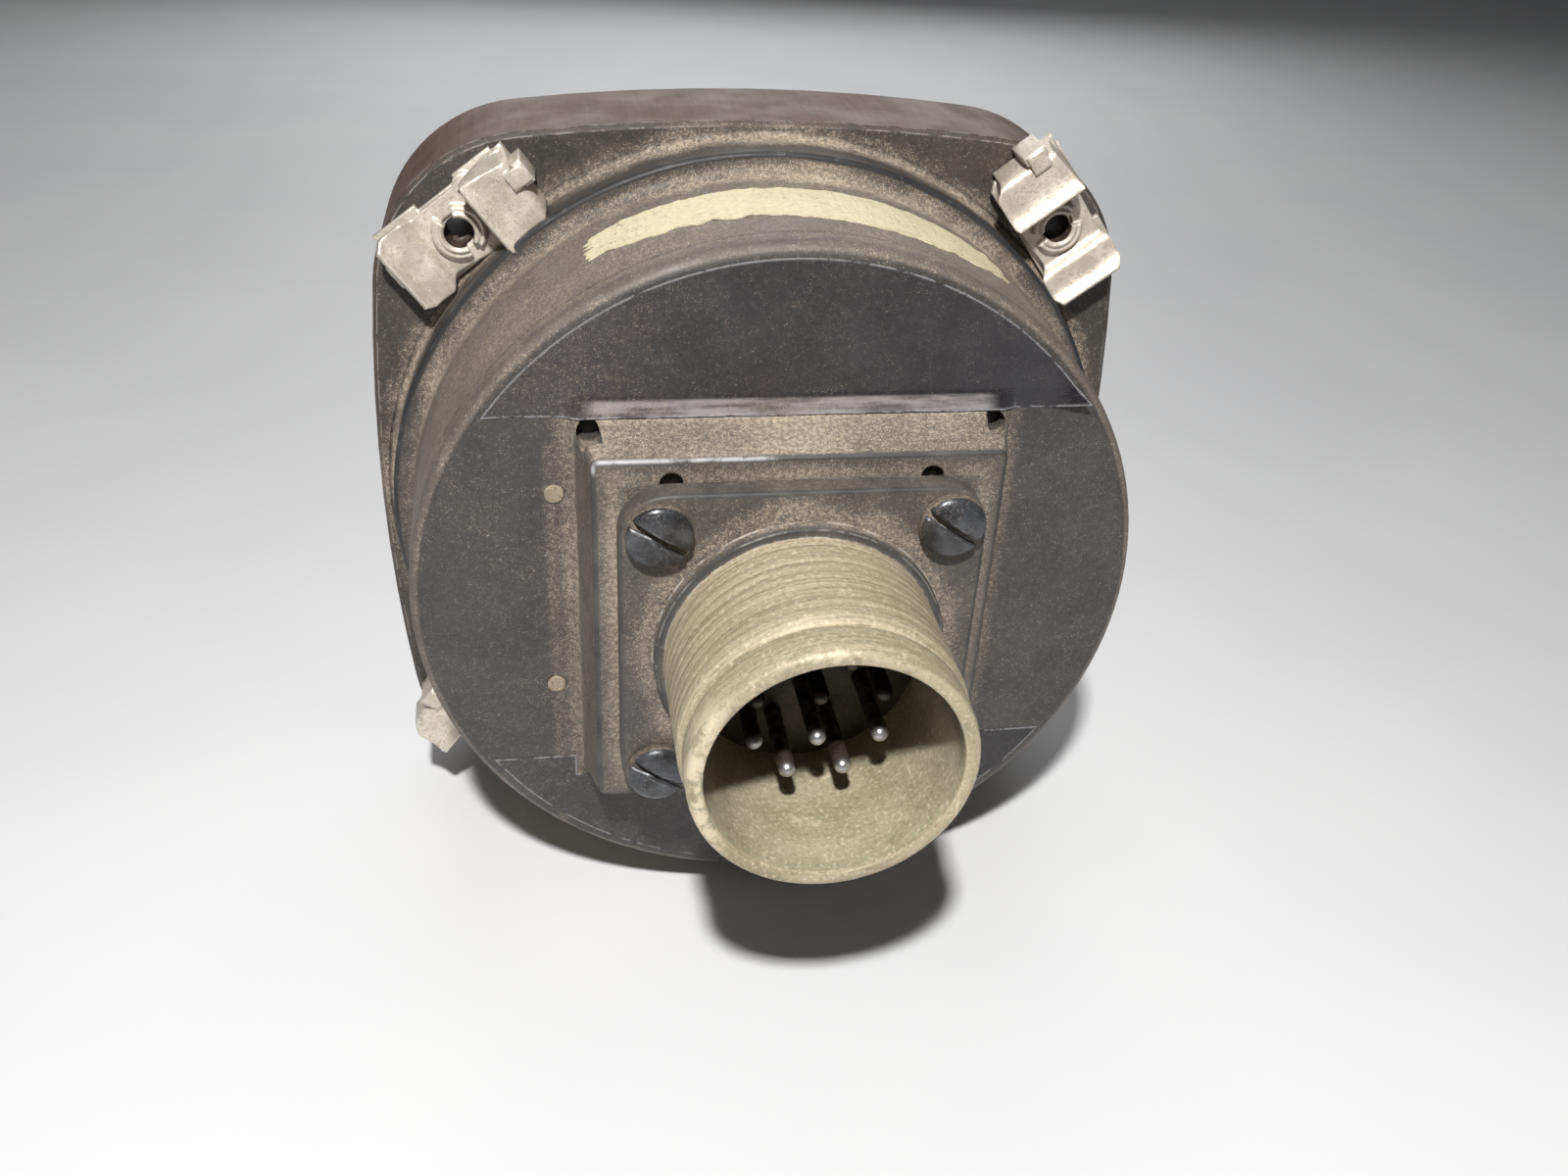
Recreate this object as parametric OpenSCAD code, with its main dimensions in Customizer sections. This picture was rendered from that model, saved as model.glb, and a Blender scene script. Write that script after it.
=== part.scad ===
// Panel-mounted course selector and indicator, seen and used from its front.
// Y runs along the instrument: the panel face of the bezel is at y = 0, the dial
// looks toward -Y and the rear connector points to +Y. +Z is up. Millimetres.

/* [Bezel] */
// Width of the square bezel across the middle of its bowed sides
bezel_w = 82.55; // [81:0.05:90]
// Depth of the bezel from its panel face to its rear face
bezel_depth = 14.8; // [14.6:0.1:20]
// Radius of the bowed sides
side_bow_r = 220; // [160:10:600]
// Radius of the four corners
corner_r = 17; // [14:0.5:20]
// Bevel along the front and rear edges
edge_bevel = 0.45; // [0.2:0.05:1]
// Wall of the bezel outside the seat of the case, at the middle of a side
bezel_wall = 2.275; // [1.8:0.025:3]
// Distance of the mounting screws outside the boss
mount_gap = 4.856; // [4.8:0.004:6]
// Diameter of the mounting screw holes
mount_hole_d = 4.4; // [3.6:0.1:5]
// Thickness of the land between the window seat and the card chamber
land_t = 2.2; // [1.8:0.1:3]

/* [Window] */
// Width of the bezel's face outside the window ring
ring_inset = 1.675; // [1.2:0.025:1.8]
// Height of the window ring in front of the panel face
ring_proud = 2.6; // [2.4:0.1:4]
// Depth of the ring's spigot in the bezel
spigot_depth = 2; // [1.8:0.1:3]
// Wall of the ring outside the glass
ring_wall = 4.2; // [4:0.1:4.8]
// Width of the ring's lip in front of the glass
lip_w = 2.2; // [1.6:0.1:4]
// Thickness of the glass
glass_t = 1.8; // [1.2:0.1:2]
// Thickness of the rubber gasket in front of the glass
window_gasket_t = 0.5; // [0.3:0.1:0.7]

/* [Card and dial] */
// Number of teeth on the card's knob gear and on its hub gear
card_teeth = 88; // [80:1:90]
// Face width of the knob gear
card_face = 2.6; // [2:0.1:2.8]
// Width of the card chamber outside the course card
land_w = 2.6; // [2.2:0.1:3.6]
// Thickness of the course card
card_t = 0.8; // [0.5:0.1:1]
// Width of the dial plate outside the drum
dial_lap = 1.4; // [1:0.1:2]
// Thickness of the dial plate and of the index ring
dial_t = 0.6; // [0.4:0.1:0.8]
// Wall of the card gear's hub under its teeth
hub_wall = 1.63; // [1.3:0.01:2.2]
// Radial play between the drum and the card gear
drum_play = 0.05; // [0.03:0.01:0.08]

/* [Course knob] */
// Number of teeth on the knob pinion
knob_teeth = 15; // [14:1:16]
// Diameter of the knob
knob_d = 15; // [12:0.5:17]
// Length of the knob
knob_len = 11; // [9:0.5:16]
// Diameter of the knob shaft
shaft_d = 4; // [3:0.1:4.2]
// Radial play between the shaft and its bush
shaft_play = 0.05; // [0.02:0.01:0.08]
// Height of the bush in front of the panel face
bush_proud = 4.5; // [4:0.1:6]

/* [Resolver train] */
// Gap between the idler's teeth and the wall of the card chamber
idler_gap = 0.66; // [0.4:0.02:1.2]
// Module of the mesh between the idler and the resolver gear
resolver_module = 0.3; // [0.28:0.01:0.3]
// Diameter of the resolver's can
resolver_d = 19; // [16:0.5:20]
// Length of the resolver's can
resolver_len = 14.5; // [10:0.5:15]

/* [Indicator movement] */
// Gap between the needle's meter and the drum, which sets the height of the pivot
yoke_gap = 2.3; // [1.6:0.1:3.2]
// Reach of the needle from its pivot
needle_len = 31; // [26:0.5:33]
// Distance of each flag's axis from the centre line
flag_x = 12; // [11.5:0.1:12.3]
// Least gap between a flag's edge and the drum
flag_gap = 0.9; // [0.6:0.1:1.6]

/* [Case] */
// Width of the bezel's rear face outside the boss
boss_inset = 1.675; // [1.2:0.025:1.8]
// Height of the boss behind the bezel
boss_h = 5.2; // [5:0.1:8]
// Step from the boss down to the barrel
boss_step = 2.2; // [1.6:0.1:2.3]
// Fall of the barrel's radius to its rear
barrel_taper = 0.5; // [0.1:0.1:0.7]
// Distance from the panel face to the case's rear face
case_depth = 39; // [38.6:0.1:50]
// Wall of the case
case_wall = 2; // [1.6:0.1:2.2]
// Width of the square block at its rear face
block_w = 38.3; // [37.6:0.1:40]
// Width of the square block at its foot
block_base_w = 41.1; // [40.4:0.1:42]
// Height of the square block behind the case's rear face
block_h = 6.3; // [5.6:0.1:9]

/* [Connector] */
// Width of the square flange
flange_w = 34.2; // [33.8:0.1:35]
// Thickness of the flange
flange_t = 2.45; // [2:0.05:3]
// Thickness of the rubber gasket under the flange
gasket_t = 0.4; // [0.2:0.1:0.8]
// Spacing of the flange screws
flange_pitch = 26.97; // [26.6:0.01:27.4]
// Diameter of the shell's thread
thread_d = 26.2; // [25.9:0.1:27]
// Pitch of the shell's thread grooves
thread_pitch = 1.4; // [1:0.1:1.8]
// Step from the thread down to the plain nose
nose_step = 0.35; // [0.25:0.05:0.6]
// Wall of the shell at the nose
shell_wall = 1.1; // [0.95:0.05:1.4]
// Height of the shell's rim above the flange
shell_h = 18.85; // [16:0.05:24]
// Diameter of a contact pin
pin_d = 1.6; // [1.2:0.1:2]
// Depth of the pin tips below the shell's rim
pin_sink = 7.5; // [5:0.1:10]
// Depth of the insert's face below the shell's rim
insert_sink = 17; // [13:0.5:17]

/* [Clip nuts] */
// Thickness of the sheet
clip_t = 0.6; // [0.5:0.05:0.8]
// Width of the clip at its ears
clip_w = 8.4; // [7.6:0.1:8.6]
// Diameter of the threaded hole
clip_hole_d = 2.95; // [2.6:0.05:3.1]
// Turn of each clip from the line square to its corner
clip_turn = 8; // [0:1:10]

/* [Hidden] */
$fn = 96;
// Overshoot of a cut past the surface that it opens
cut = 0.5;
// Play between two fixed pieces that slip together
fit = 0.05;
// Depth of the step that beds the window ring in the panel face
ring_bed = 0.3;
// Side of the pressure angle at which all the gears mesh
pressure_angle = 25;
// Backlash on each flank, along the pitch circle
backlash = 0.05;

// Stations along Y, front to rear
window_floor_y = spigot_depth;
chamber_y = window_floor_y + land_t;
dial_y = chamber_y + 0.2;
dial_back_y = dial_y + dial_t;
card_y = chamber_y + dial_t + 0.6;
gear_y = card_y + card_t;
gear_back_y = gear_y + card_face;
case_spigot_t = 0.6;
plate_t = 1.6;
plate_y = bezel_depth - case_spigot_t - plate_t;
plate_back_y = plate_y + plate_t;
hub_face = 2.3;
hub_back_y = plate_y - 0.3;
hub_y = hub_back_y - hub_face;
needle_t = 0.4;
needle_y = dial_y - 1.5;

// Radii from the bezel's sides inward: seat of the case, card chamber, card gear train
seat_step = 2.4;
chamber_gap = 0.6;
case_seat_r = bezel_w/2 - bezel_wall;
chamber_r = case_seat_r - seat_step;
card_tip_r = chamber_r - chamber_gap;
card_module = card_tip_r/(card_teeth/2 + 1);
card_r = card_module*card_teeth/2;
knob_r = card_r + card_module*knob_teeth/2;
knob_angle = 225;
knob_x = knob_r*cos(knob_angle);
knob_z = knob_r*sin(knob_angle);
land_r = chamber_r - land_w;
ring_r = bezel_w/2 - ring_inset;
glass_r = ring_r - ring_wall;
window_r = glass_r - lip_w;
spigot_r = glass_r + 1.6;
// The idler's teeth reach gear_tip modules past its pitch circle
gear_tip = 0.9;
gear_root = 1.2;
hub_module = (chamber_r - idler_gap)/(card_teeth/2 + knob_teeth + gear_tip);
hub_r = hub_module*card_teeth/2;
drum_r = hub_r - gear_root*hub_module - hub_wall - drum_play;
drum_wall = 1.5;
yoke_r = 8.2;
pivot_z = drum_r - drum_wall - yoke_gap - yoke_r;
idler_z = hub_r + hub_module*knob_teeth/2;
resolver_z = idler_z - resolver_module*(card_teeth + knob_teeth)/2;

// Screws that hold the window ring, and the long ones that hold the case
ring_screw_r = spigot_r + 0.9;
ring_screw_angles = [20, 110, 200, 290];
ring_screw_d = 1.4;
ring_head_d = 2.4;
case_screw_r = case_seat_r - 1;
case_screw_angles = [0, 90, 180, 270];
case_screw_d = 1.6;
case_head_d = 2.8;
case_head_h = 1.6;
case_head_y = ring_bed + 0.1;

// Case and connector stations
boss_r = bezel_w/2 - boss_inset;
boss_y = bezel_depth + boss_h;
barrel_r = boss_r - boss_step;
barrel_rear_r = barrel_r - barrel_taper;
case_inner_r = barrel_rear_r - case_wall;
case_floor_y = case_depth - case_wall;
block_y = case_depth + block_h;
block_inner_w = block_w - 2*case_wall - 0.4;
flange_y = block_y + gasket_t;
flange_back_y = flange_y + flange_t;
rim_y = flange_back_y + shell_h;
pin_tip_y = rim_y - pin_sink;
insert_face_y = rim_y - insert_sink;
thread_r = thread_d/2;
nose_r = thread_r - nose_step;
shell_bore_r = nose_r - shell_wall;
shell_skirt_r = shell_bore_r + 0.6;
block_hole_r = shell_skirt_r + 0.4;
shell_rear_y = block_y - 4.3;
nut_plate_t = 1.8;

// Mounting screws: spacing along a side, and their corners as signs of x and z
mount_pitch = (boss_r + mount_gap)*sqrt(2);
clip_corners = [[1, 1], [-1, 1], [1, -1]];

// Screws of the connector's flange, x and z
flange_places = [for (x = [-1, 1], z = [-1, 1]) [x, z]*flange_pitch/2];

// Contacts on the insert, x and z
pin_places = [[-2.6, 5.8], [2.6, 5.8], [-5.8, 2.3], [0, 2.3], [5.8, 2.3],
              [-5.8, -2.3], [0, -2.3], [5.8, -2.3], [-2.6, -5.8], [2.6, -5.8]];

// Point p turned by angle a about the origin
function turned_point(p, a) = [p[0]*cos(a) - p[1]*sin(a), p[0]*sin(a) + p[1]*cos(a)];
// Place at radius r and angle a
function polar(r, a) = [r*cos(a), r*sin(a)];

// Extrudes a flat outline drawn in X and Z from depth y0 to depth y1
module slab(y0, y1) {
    translate([0, y1, 0]) rotate([90, 0, 0]) linear_extrude(y1 - y0) children();
}
// Solid rod along Y
module rod(r, y0, y1) {
    translate([0, y0, 0]) rotate([-90, 0, 0]) cylinder(r = r, h = y1 - y0);
}
// Ring along Y
module ring(r_out, r_in, y0, y1) {
    difference() {
        rod(r_out, y0, y1);
        rod(r_in, y0 - cut, y1 + cut);
    }
}
// Solid turned about Y from points of radius and depth
module turned(points) {
    rotate([-90, 0, 0]) rotate_extrude() polygon(points);
}
// Moves children to a place in X and Z
module at(place) {
    translate([place[0], 0, place[1]]) children();
}
// Copies children to each place in X and Z
module at_each(places) {
    for (place = places) at(place) children();
}
// Copies children round the Y axis, each turned with its angle
module round_axis(angles) {
    for (a = angles) rotate([0, -a, 0]) children();
}
// Slotted cheese-head screw whose head faces -Y at y0, with its shank to y1
module slotted_screw(head_r, head_h, shank_r, y0, y1) {
    difference() {
        union() {
            rod(head_r, y0, y0 + head_h);
            rod(shank_r, y0 + head_h/2, y1);
        }
        translate([-head_r - cut, y0 - cut, -head_r*0.14])
            cube([2*(head_r + cut), cut + head_h*0.4, head_r*0.28]);
    }
}
// The same screw with its head facing +Y at y1 and its shank to y0
module rear_screw(head_r, head_h, shank_r, y0, y1) {
    translate([0, y0 + y1, 0]) mirror([0, 1, 0]) slotted_screw(head_r, head_h, shank_r, y0, y1);
}

// Angle in degrees by which an involute leaves its base circle at pressure angle a
function involute_angle(a) = tan(a)*180/PI - a;
// Half the angle that a tooth takes at radius r
function tooth_half_angle(n, m, r) =
    let (pitch_r = m*n/2, base_r = pitch_r*cos(pressure_angle), at_r = max(r, base_r + 0.001))
    90/n - backlash/pitch_r*180/PI + involute_angle(pressure_angle)
    - involute_angle(acos(base_r/at_r));
// Outline of a spur gear with a tooth centred at angle start
function gear_outline(n, m, start, flank_steps) =
    let (root_r = m*n/2 - gear_root*m, tip_r = m*n/2 + gear_tip*m)
    [for (i = [0 : n - 1], side = [-1, 1], j = [0 : flank_steps])
        let (step = side < 0 ? j : flank_steps - j,
             r = root_r + (tip_r - root_r)*step/flank_steps)
        polar(r, start + i*360/n + side*tooth_half_angle(n, m, r))];

// Outline of the bezel drawn in by inset: four corner arcs and four bowed sides
bow_centre = side_bow_r - bezel_w/2;
corner_centre = (sqrt(2*pow(side_bow_r - corner_r, 2) - pow(bow_centre, 2)) - bow_centre)/2;
tangent_a = atan2(corner_centre + bow_centre, corner_centre);
corner_steps = 16;
side_steps = 8;
function bezel_outline(inset) = [for (q = [0 : 3]) each concat(
    [for (i = [0 : corner_steps])
        let (a = 90 - tangent_a + i*(2*tangent_a - 90)/corner_steps)
        turned_point([corner_centre, corner_centre] + polar(corner_r - inset, a), 90*q)],
    [for (i = [1 : side_steps - 1])
        let (a = tangent_a + i*(180 - 2*tangent_a)/side_steps)
        turned_point([0, -bow_centre] + polar(side_bow_r - inset, a), 90*q)])];
// Square outline of width w with corners of radius r
function soft_square(w, r) = [for (q = [0 : 3], i = [0 : 5])
    turned_point([w/2 - r, w/2 - r] + polar(r, 18*i), 90*q)];

// Pocket that lets the knob pinion in from the card chamber
pinion_gear_y = gear_y + 0.2;
pinion_tip_r = card_module*(knob_teeth/2 + gear_tip);
pocket_r = pinion_tip_r + 0.6;
channel_half = pocket_r - 0.3;
pocket_y = pinion_gear_y - 0.4;
pinion_hub_y = pinion_gear_y + card_face;
pinion_hub_h = 1;
pin_r = 0.3;
pin_y = pinion_hub_y + pinion_hub_h/2;
pocket_back_y = pinion_hub_y + pinion_hub_h + 0.2;
channel_y = pinion_gear_y - 0.2;
channel_back_y = pinion_hub_y + 0.3;
bush_r = shaft_d/2 + 1.5;
bush_flange_r = bush_r + 0.8;
bush_flange_t = 0.8;
shaft_back_y = pocket_back_y + 2.2;

// Cast bezel: panel face, window seat, card chamber, pinion pocket and screw holes
module bezel() color("dimgray") difference() {
    hull() {
        slab(0, edge_bevel) polygon(bezel_outline(edge_bevel));
        slab(edge_bevel, bezel_depth - edge_bevel) polygon(bezel_outline(0));
        slab(bezel_depth - edge_bevel, bezel_depth) polygon(bezel_outline(edge_bevel));
    }
    rod(ring_r + 0.1, -cut, ring_bed);
    rod(spigot_r + fit, -cut, window_floor_y);
    rod(land_r, -cut, chamber_y + cut);
    rod(chamber_r, chamber_y, plate_y + cut);
    rod(case_seat_r, plate_y, bezel_depth + cut);
    at([knob_x, knob_z]) {
        rod(pocket_r, pocket_y, pocket_back_y);
        rod(bush_r + fit, -cut, pocket_y + cut);
        rod(bush_flange_r + 0.1, -cut, bush_flange_t);
        rod(shaft_d/2 + shaft_play, pocket_back_y - cut, shaft_back_y + 0.3);
    }
    rotate([0, -knob_angle, 0]) translate([chamber_r - 3, channel_y, -channel_half])
        cube([knob_r - chamber_r + 3, channel_back_y - channel_y, 2*channel_half]);
    round_axis(ring_screw_angles) at([ring_screw_r, 0]) rod(ring_screw_d/2 + fit, -cut, 5.5);
    round_axis(case_screw_angles) at([case_screw_r, 0]) {
        rod(case_head_d/2 + 0.1, -cut, case_head_y + case_head_h);
        rod(case_screw_d/2 + 0.1, -cut, bezel_depth + cut);
    }
    for (c = clip_corners) at([c[0], c[1]]*mount_pitch/2) rod(mount_hole_d/2, -cut, bezel_depth + cut);
}

// Window ring: turned lip, glass pocket and spigot, cut away round the knob's bush
ring_lip = 0.9;
glass_y = -ring_proud + ring_lip + window_gasket_t;
module window_ring() color("#1d1d1f") difference() {
    turned([[window_r, -ring_proud], [ring_r - 0.8, -ring_proud], [ring_r, -ring_proud + 0.8],
            [ring_r, ring_bed], [spigot_r, ring_bed], [spigot_r, window_floor_y],
            [glass_r + 0.2, window_floor_y],
            [glass_r + 0.2, -ring_proud + ring_lip], [window_r, -ring_proud + ring_lip]]);
    round_axis(ring_screw_angles) at([ring_screw_r, 0]) {
        rod(ring_screw_d/2 + 0.1, -ring_proud - cut, cut);
        rod(ring_head_d/2 + 0.1, -ring_proud - cut, -ring_proud + 1.2);
    }
    round_axis(case_screw_angles) at([case_screw_r, 0])
        rod(case_head_d/2 + 0.2, ring_bed, window_floor_y + cut);
    at([knob_x, knob_z]) rod(bush_flange_r + 0.2, -ring_proud - cut, window_floor_y + cut);
}

// Small screws that hold the window ring to the bezel
module window_ring_screws() color("black") round_axis(ring_screw_angles) at([ring_screw_r, 0])
    slotted_screw(ring_head_d/2, 0.9, ring_screw_d/2, -ring_proud + 0.3, 5);

// Rubber ring in front of the glass
module window_gasket() color("black")
    ring(glass_r + 0.1, window_r + 0.3, glass_y - window_gasket_t, glass_y);

// Flat window glass
module window_glass() color([0.8, 0.9, 0.95, 0.35]) rod(glass_r, glass_y, glass_y + glass_t);

// Spacer that clamps the glass against the gasket
module glass_spacer() color("black")
    ring(glass_r + 0.1, land_r - 0.3, glass_y + glass_t, window_floor_y);

// Fixed ring with the upper and lower course pointers
module index_ring() color("black") union() {
    ring(chamber_r - 0.1, land_r - 0.4, chamber_y, chamber_y + dial_t);
    for (side = [1, -1]) slab(chamber_y, chamber_y + dial_t)
        polygon([[-1.6, side*(land_r + 0.8)], [1.6, side*(land_r + 0.8)], [0, side*(land_r - 4.5)]]);
}

// Fixed dial plate with the flag windows and the hole for the needle's staff
dial_screw_angles = [30, 150, 270];
dial_screw_r = drum_r - drum_wall - 1.3;
window_z = 0.5;
module dial_plate() color("#26262a") difference() {
    rod(drum_r + dial_lap, dial_y, dial_back_y);
    at([0, pivot_z]) rod(staff_r + 0.5, dial_y - cut, dial_back_y + cut);
    for (side = [-1, 1]) translate([side*flag_x - 3.25, dial_y - cut, window_z - 2.3])
        cube([6.5, dial_t + 2*cut, 4.6]);
    round_axis(dial_screw_angles) at([dial_screw_r, 0]) rod(0.75, dial_y - cut, dial_back_y + cut);
}

// Screws that hold the dial plate to the posts inside the drum
module dial_screws() color("black") round_axis(dial_screw_angles) at([dial_screw_r, 0])
    slotted_screw(1.3, 0.6, 0.65, dial_y - 0.6, dial_back_y + 3.5);

// Ring card that carries the course scale
card_screw_angles = [45, 165, 285];
card_screw_r = land_r - 6;
module course_card() color("#1a1a1c") difference() {
    ring(land_r, drum_r + 0.6, card_y, gear_y);
    round_axis(card_screw_angles) at([card_screw_r, 0]) rod(0.65, card_y - cut, gear_y + cut);
}

// Screws that hold the card to its gear
module card_screws() color("silver") round_axis(card_screw_angles) at([card_screw_r, 0])
    slotted_screw(1.1, 0.35, 0.6, card_y - 0.35, gear_back_y - 0.4);

// Card gear: knob gear on a flange, hub and resolver gear in one turned and cut blank
module card_gear() color("goldenrod") difference() {
    union() {
        slab(gear_y, gear_back_y) polygon(gear_outline(card_teeth, card_module, knob_angle, 2));
        rod(hub_r - 1.2, gear_y, hub_back_y);
        slab(hub_y, hub_back_y) polygon(gear_outline(card_teeth, hub_module, 90, 2));
    }
    rod(drum_r + drum_play, gear_y - cut, hub_back_y + cut);
    round_axis(card_screw_angles) at([card_screw_r, 0]) rod(0.65, gear_y - cut, gear_back_y - 0.2);
}

// Movement frame: round plate clamped between bezel and case, drum, posts and bearing holes
module movement_frame() color("silver") difference() {
    union() {
        rod(case_seat_r - 0.1, plate_y, plate_back_y);
        ring(drum_r, drum_r - drum_wall, dial_back_y + 0.1, plate_y + cut);
        round_axis(dial_screw_angles) at([dial_screw_r, 0]) rod(1.6, dial_back_y, plate_y + cut);
    }
    round_axis(dial_screw_angles) at([dial_screw_r, 0]) rod(0.7, dial_back_y - cut, dial_back_y + 4);
    round_axis(case_screw_angles) at([case_screw_r, 0]) {
        rod(case_screw_d/2 + 0.3, plate_y - cut, plate_back_y + cut);
        translate([0, plate_y - cut, -case_screw_d/2]) cube([2, plate_t + 2*cut, case_screw_d]);
    }
    at([0, pivot_z]) rod(staff_r + 0.05, plate_y - cut, plate_y + 1);
    at([0, idler_z]) rod(idler_bush_r, plate_y - cut, plate_back_y + cut);
}

// Soft iron ring of the needle's meter on four feet
yoke_in_r = 5.4;
core_r = 3.4;
staff_r = 0.5;
coil_y = dial_back_y + 1.6;
coil_back_y = coil_y + 4.8;
module needle_meter_yoke() color("dimgray") at([0, pivot_z]) union() {
    ring(yoke_r, yoke_in_r, coil_y + 0.4, coil_back_y - 0.4);
    for (a = [45 : 90 : 315]) rotate([0, a, 0]) at([(yoke_r + yoke_in_r)/2, 0])
        rod(1, coil_back_y - 0.8, plate_y);
}

// Magnet core inside the coil, held by two side pins
module needle_meter_core() color("gray") at([0, pivot_z]) union() {
    rod(core_r, coil_y + 1, coil_back_y - 1);
    translate([0, (coil_y + coil_back_y)/2, -yoke_in_r]) cylinder(r = 0.6, h = 2*yoke_in_r);
}

// Bridge with the needle's front bearing, on two posts
bridge_x = yoke_r + 1.6;
bridge_y = dial_back_y + 0.3;
bridge_t = 0.7;
module needle_meter_bridge() color("goldenrod") at([0, pivot_z]) difference() {
    union() {
        translate([-bridge_x, bridge_y, -1.6]) cube([2*bridge_x, bridge_t, 3.2]);
        for (side = [-1, 1]) at([side*bridge_x, 0]) rod(1.1, bridge_y, plate_y);
    }
    rod(staff_r + 0.05, bridge_y - cut, bridge_y + bridge_t + cut);
}

// Coil wound on a square frame that turns round the core
coil_in = core_r + 0.5;
coil_out = coil_in + 0.8;
module needle_meter_coil() color("chocolate") at([0, pivot_z]) difference() {
    translate([-coil_out, coil_y, -0.9]) cube([2*coil_out, coil_back_y - coil_y, 1.8]);
    translate([-coil_in, coil_y + 0.6, -0.9 - cut])
        cube([2*coil_in, coil_back_y - coil_y - 1.2, 1.8 + 2*cut]);
}

// Front and rear half staffs of the coil
module needle_staffs() color("silver") at([0, pivot_z]) union() {
    rod(staff_r, needle_y - 0.2, coil_y);
    rod(staff_r, coil_back_y, plate_y + 0.8);
}

// Flat hairspring between the bridge and the coil
spring_turns = 3;
spring_h = 0.25;
function spring_r(i, n) = staff_r + 0.25 + 2.4*i/n;
module needle_hairspring() color("steelblue") at([0, pivot_z]) union() {
    ring(staff_r + 0.35, staff_r, bridge_y + bridge_t + 0.1, bridge_y + bridge_t + 0.1 + spring_h);
    slab(bridge_y + bridge_t + 0.1, bridge_y + bridge_t + 0.1 + spring_h)
        polygon(concat([for (i = [0 : 60]) polar(spring_r(i, 60) + 0.06, 360*spring_turns*i/60)],
                       [for (i = [60 : -1 : 0]) polar(spring_r(i, 60) - 0.06, 360*spring_turns*i/60)]));
}

// Deviation needle with its hub and tail weight
module deviation_needle() color("white") at([0, pivot_z]) difference() {
    union() {
        slab(needle_y, needle_y + needle_t)
            polygon([[-0.75, 5], [0.75, 5], [0.75, 0], [0.6, -needle_len + 2], [0, -needle_len],
                     [-0.6, -needle_len + 2], [-0.75, 0]]);
        rod(1.5, needle_y, needle_y + needle_t);
        at([0, 5]) rod(1.9, needle_y, needle_y + needle_t);
    }
    rod(staff_r, needle_y - cut, needle_y + needle_t + cut);
}

// Flag meter can with the bearing of its flag
flag_z = window_z - 5.5;
flag_r = drum_r - drum_wall - flag_gap - norm([flag_x, flag_z]);
flag_meter_y = dial_back_y + 2.1;
flag_meter_r = 5.5;
module flag_meter() difference() {
    rod(flag_meter_r, flag_meter_y, plate_y);
    rod(0.65, flag_meter_y - cut, flag_meter_y + 3);
}
// Half-disc flag with a tail weight, hub and shaft
flag_y = dial_back_y + 0.6;
module flag() union() {
    difference() {
        rod(flag_r, flag_y, flag_y + 0.3);
        translate([-flag_r - cut, flag_y - cut, -flag_r - cut])
            cube([2*(flag_r + cut), 0.3 + 2*cut, flag_r]);
    }
    rod(2.6, flag_y, flag_y + 0.3);
    rod(1.1, flag_y, flag_y + 0.9);
    rod(0.6, flag_y, flag_meter_y + 2.7);
}

// Meter and flag that show the direction, to or from
module to_from_meter() color("dimgray") at([flag_x, flag_z]) flag_meter();
module to_from_flag() color("white") at([flag_x, flag_z]) flag();

// Meter and flag that warn of a lost signal
module warning_meter() color("dimgray") at([-flag_x, flag_z]) flag_meter();
module warning_flag() color("orangered") at([-flag_x, flag_z]) flag();

// Fluted course knob
knob_y = -bush_proud - 0.6;
module selector_knob() color("#151515") at([knob_x, knob_z]) difference() {
    turned([[0, knob_y - knob_len], [knob_d/2 - 1.4, knob_y - knob_len],
            [knob_d/2 - 0.5, knob_y - knob_len + 0.6], [knob_d/2, knob_y - knob_len + 1.6],
            [knob_d/2, knob_y - 2.4], [knob_d/2 - 1.2, knob_y - 2], [knob_d/2 - 1.2, knob_y], [0, knob_y]]);
    for (a = [0 : 20 : 340]) at(polar(knob_d/2 + 0.5, a)) rod(0.9, knob_y - knob_len - cut, knob_y - 2.6);
    rod(shaft_d/2 + 0.02, knob_y - knob_len + 1.5, knob_y + cut);
    translate([shaft_d/2, knob_y - 1.0 - set_screw_r, 0]) rotate([0, 90, 0])
        cylinder(r = set_screw_r + 0.02, h = knob_d);
}

// Slotted set screw in the knob's collar
set_screw_r = 0.7;
module knob_set_screw() color("silver") at([knob_x, knob_z]) difference() {
    translate([shaft_d/2 + 0.02, knob_y - 1.0 - set_screw_r, 0]) rotate([0, 90, 0])
        cylinder(r = set_screw_r, h = knob_d/2 - shaft_d/2 - 1.6);
    translate([knob_d/2 - 1.9, knob_y - 1.15 - set_screw_r, -2]) cube([1, 0.3, 4]);
}

// Knob shaft, cross-drilled for the pinion's pin
module knob_shaft() color("silver") at([knob_x, knob_z]) difference() {
    rod(shaft_d/2, knob_y - knob_len + 1.5, shaft_back_y);
    translate([-shaft_d, pin_y, 0]) rotate([0, 90, 0]) cylinder(r = pin_r, h = 2*shaft_d);
}

// Threaded bush that carries the knob shaft through the panel
module shaft_bush() color("goldenrod") at([knob_x, knob_z]) difference() {
    union() {
        rod(bush_r, -bush_proud, pocket_y - 0.2);
        rod(bush_flange_r, 0, bush_flange_t);
    }
    rod(shaft_d/2 + shaft_play, -bush_proud - cut, pocket_y + cut);
}

// Pinion that drives the card gear, pinned to the knob shaft
module course_pinion() color("goldenrod") at([knob_x, knob_z]) difference() {
    union() {
        slab(pinion_gear_y, pinion_hub_y)
            polygon(gear_outline(knob_teeth, card_module, knob_angle - 180 + 180/knob_teeth, 4));
        rod(shaft_d/2 + 1.6, pinion_gear_y, pinion_hub_y + pinion_hub_h);
    }
    rod(shaft_d/2 + 0.02, pinion_gear_y - cut, pinion_hub_y + pinion_hub_h + cut);
    translate([-2*shaft_d, pin_y, 0]) rotate([0, 90, 0]) cylinder(r = pin_r, h = 4*shaft_d);
}

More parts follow.
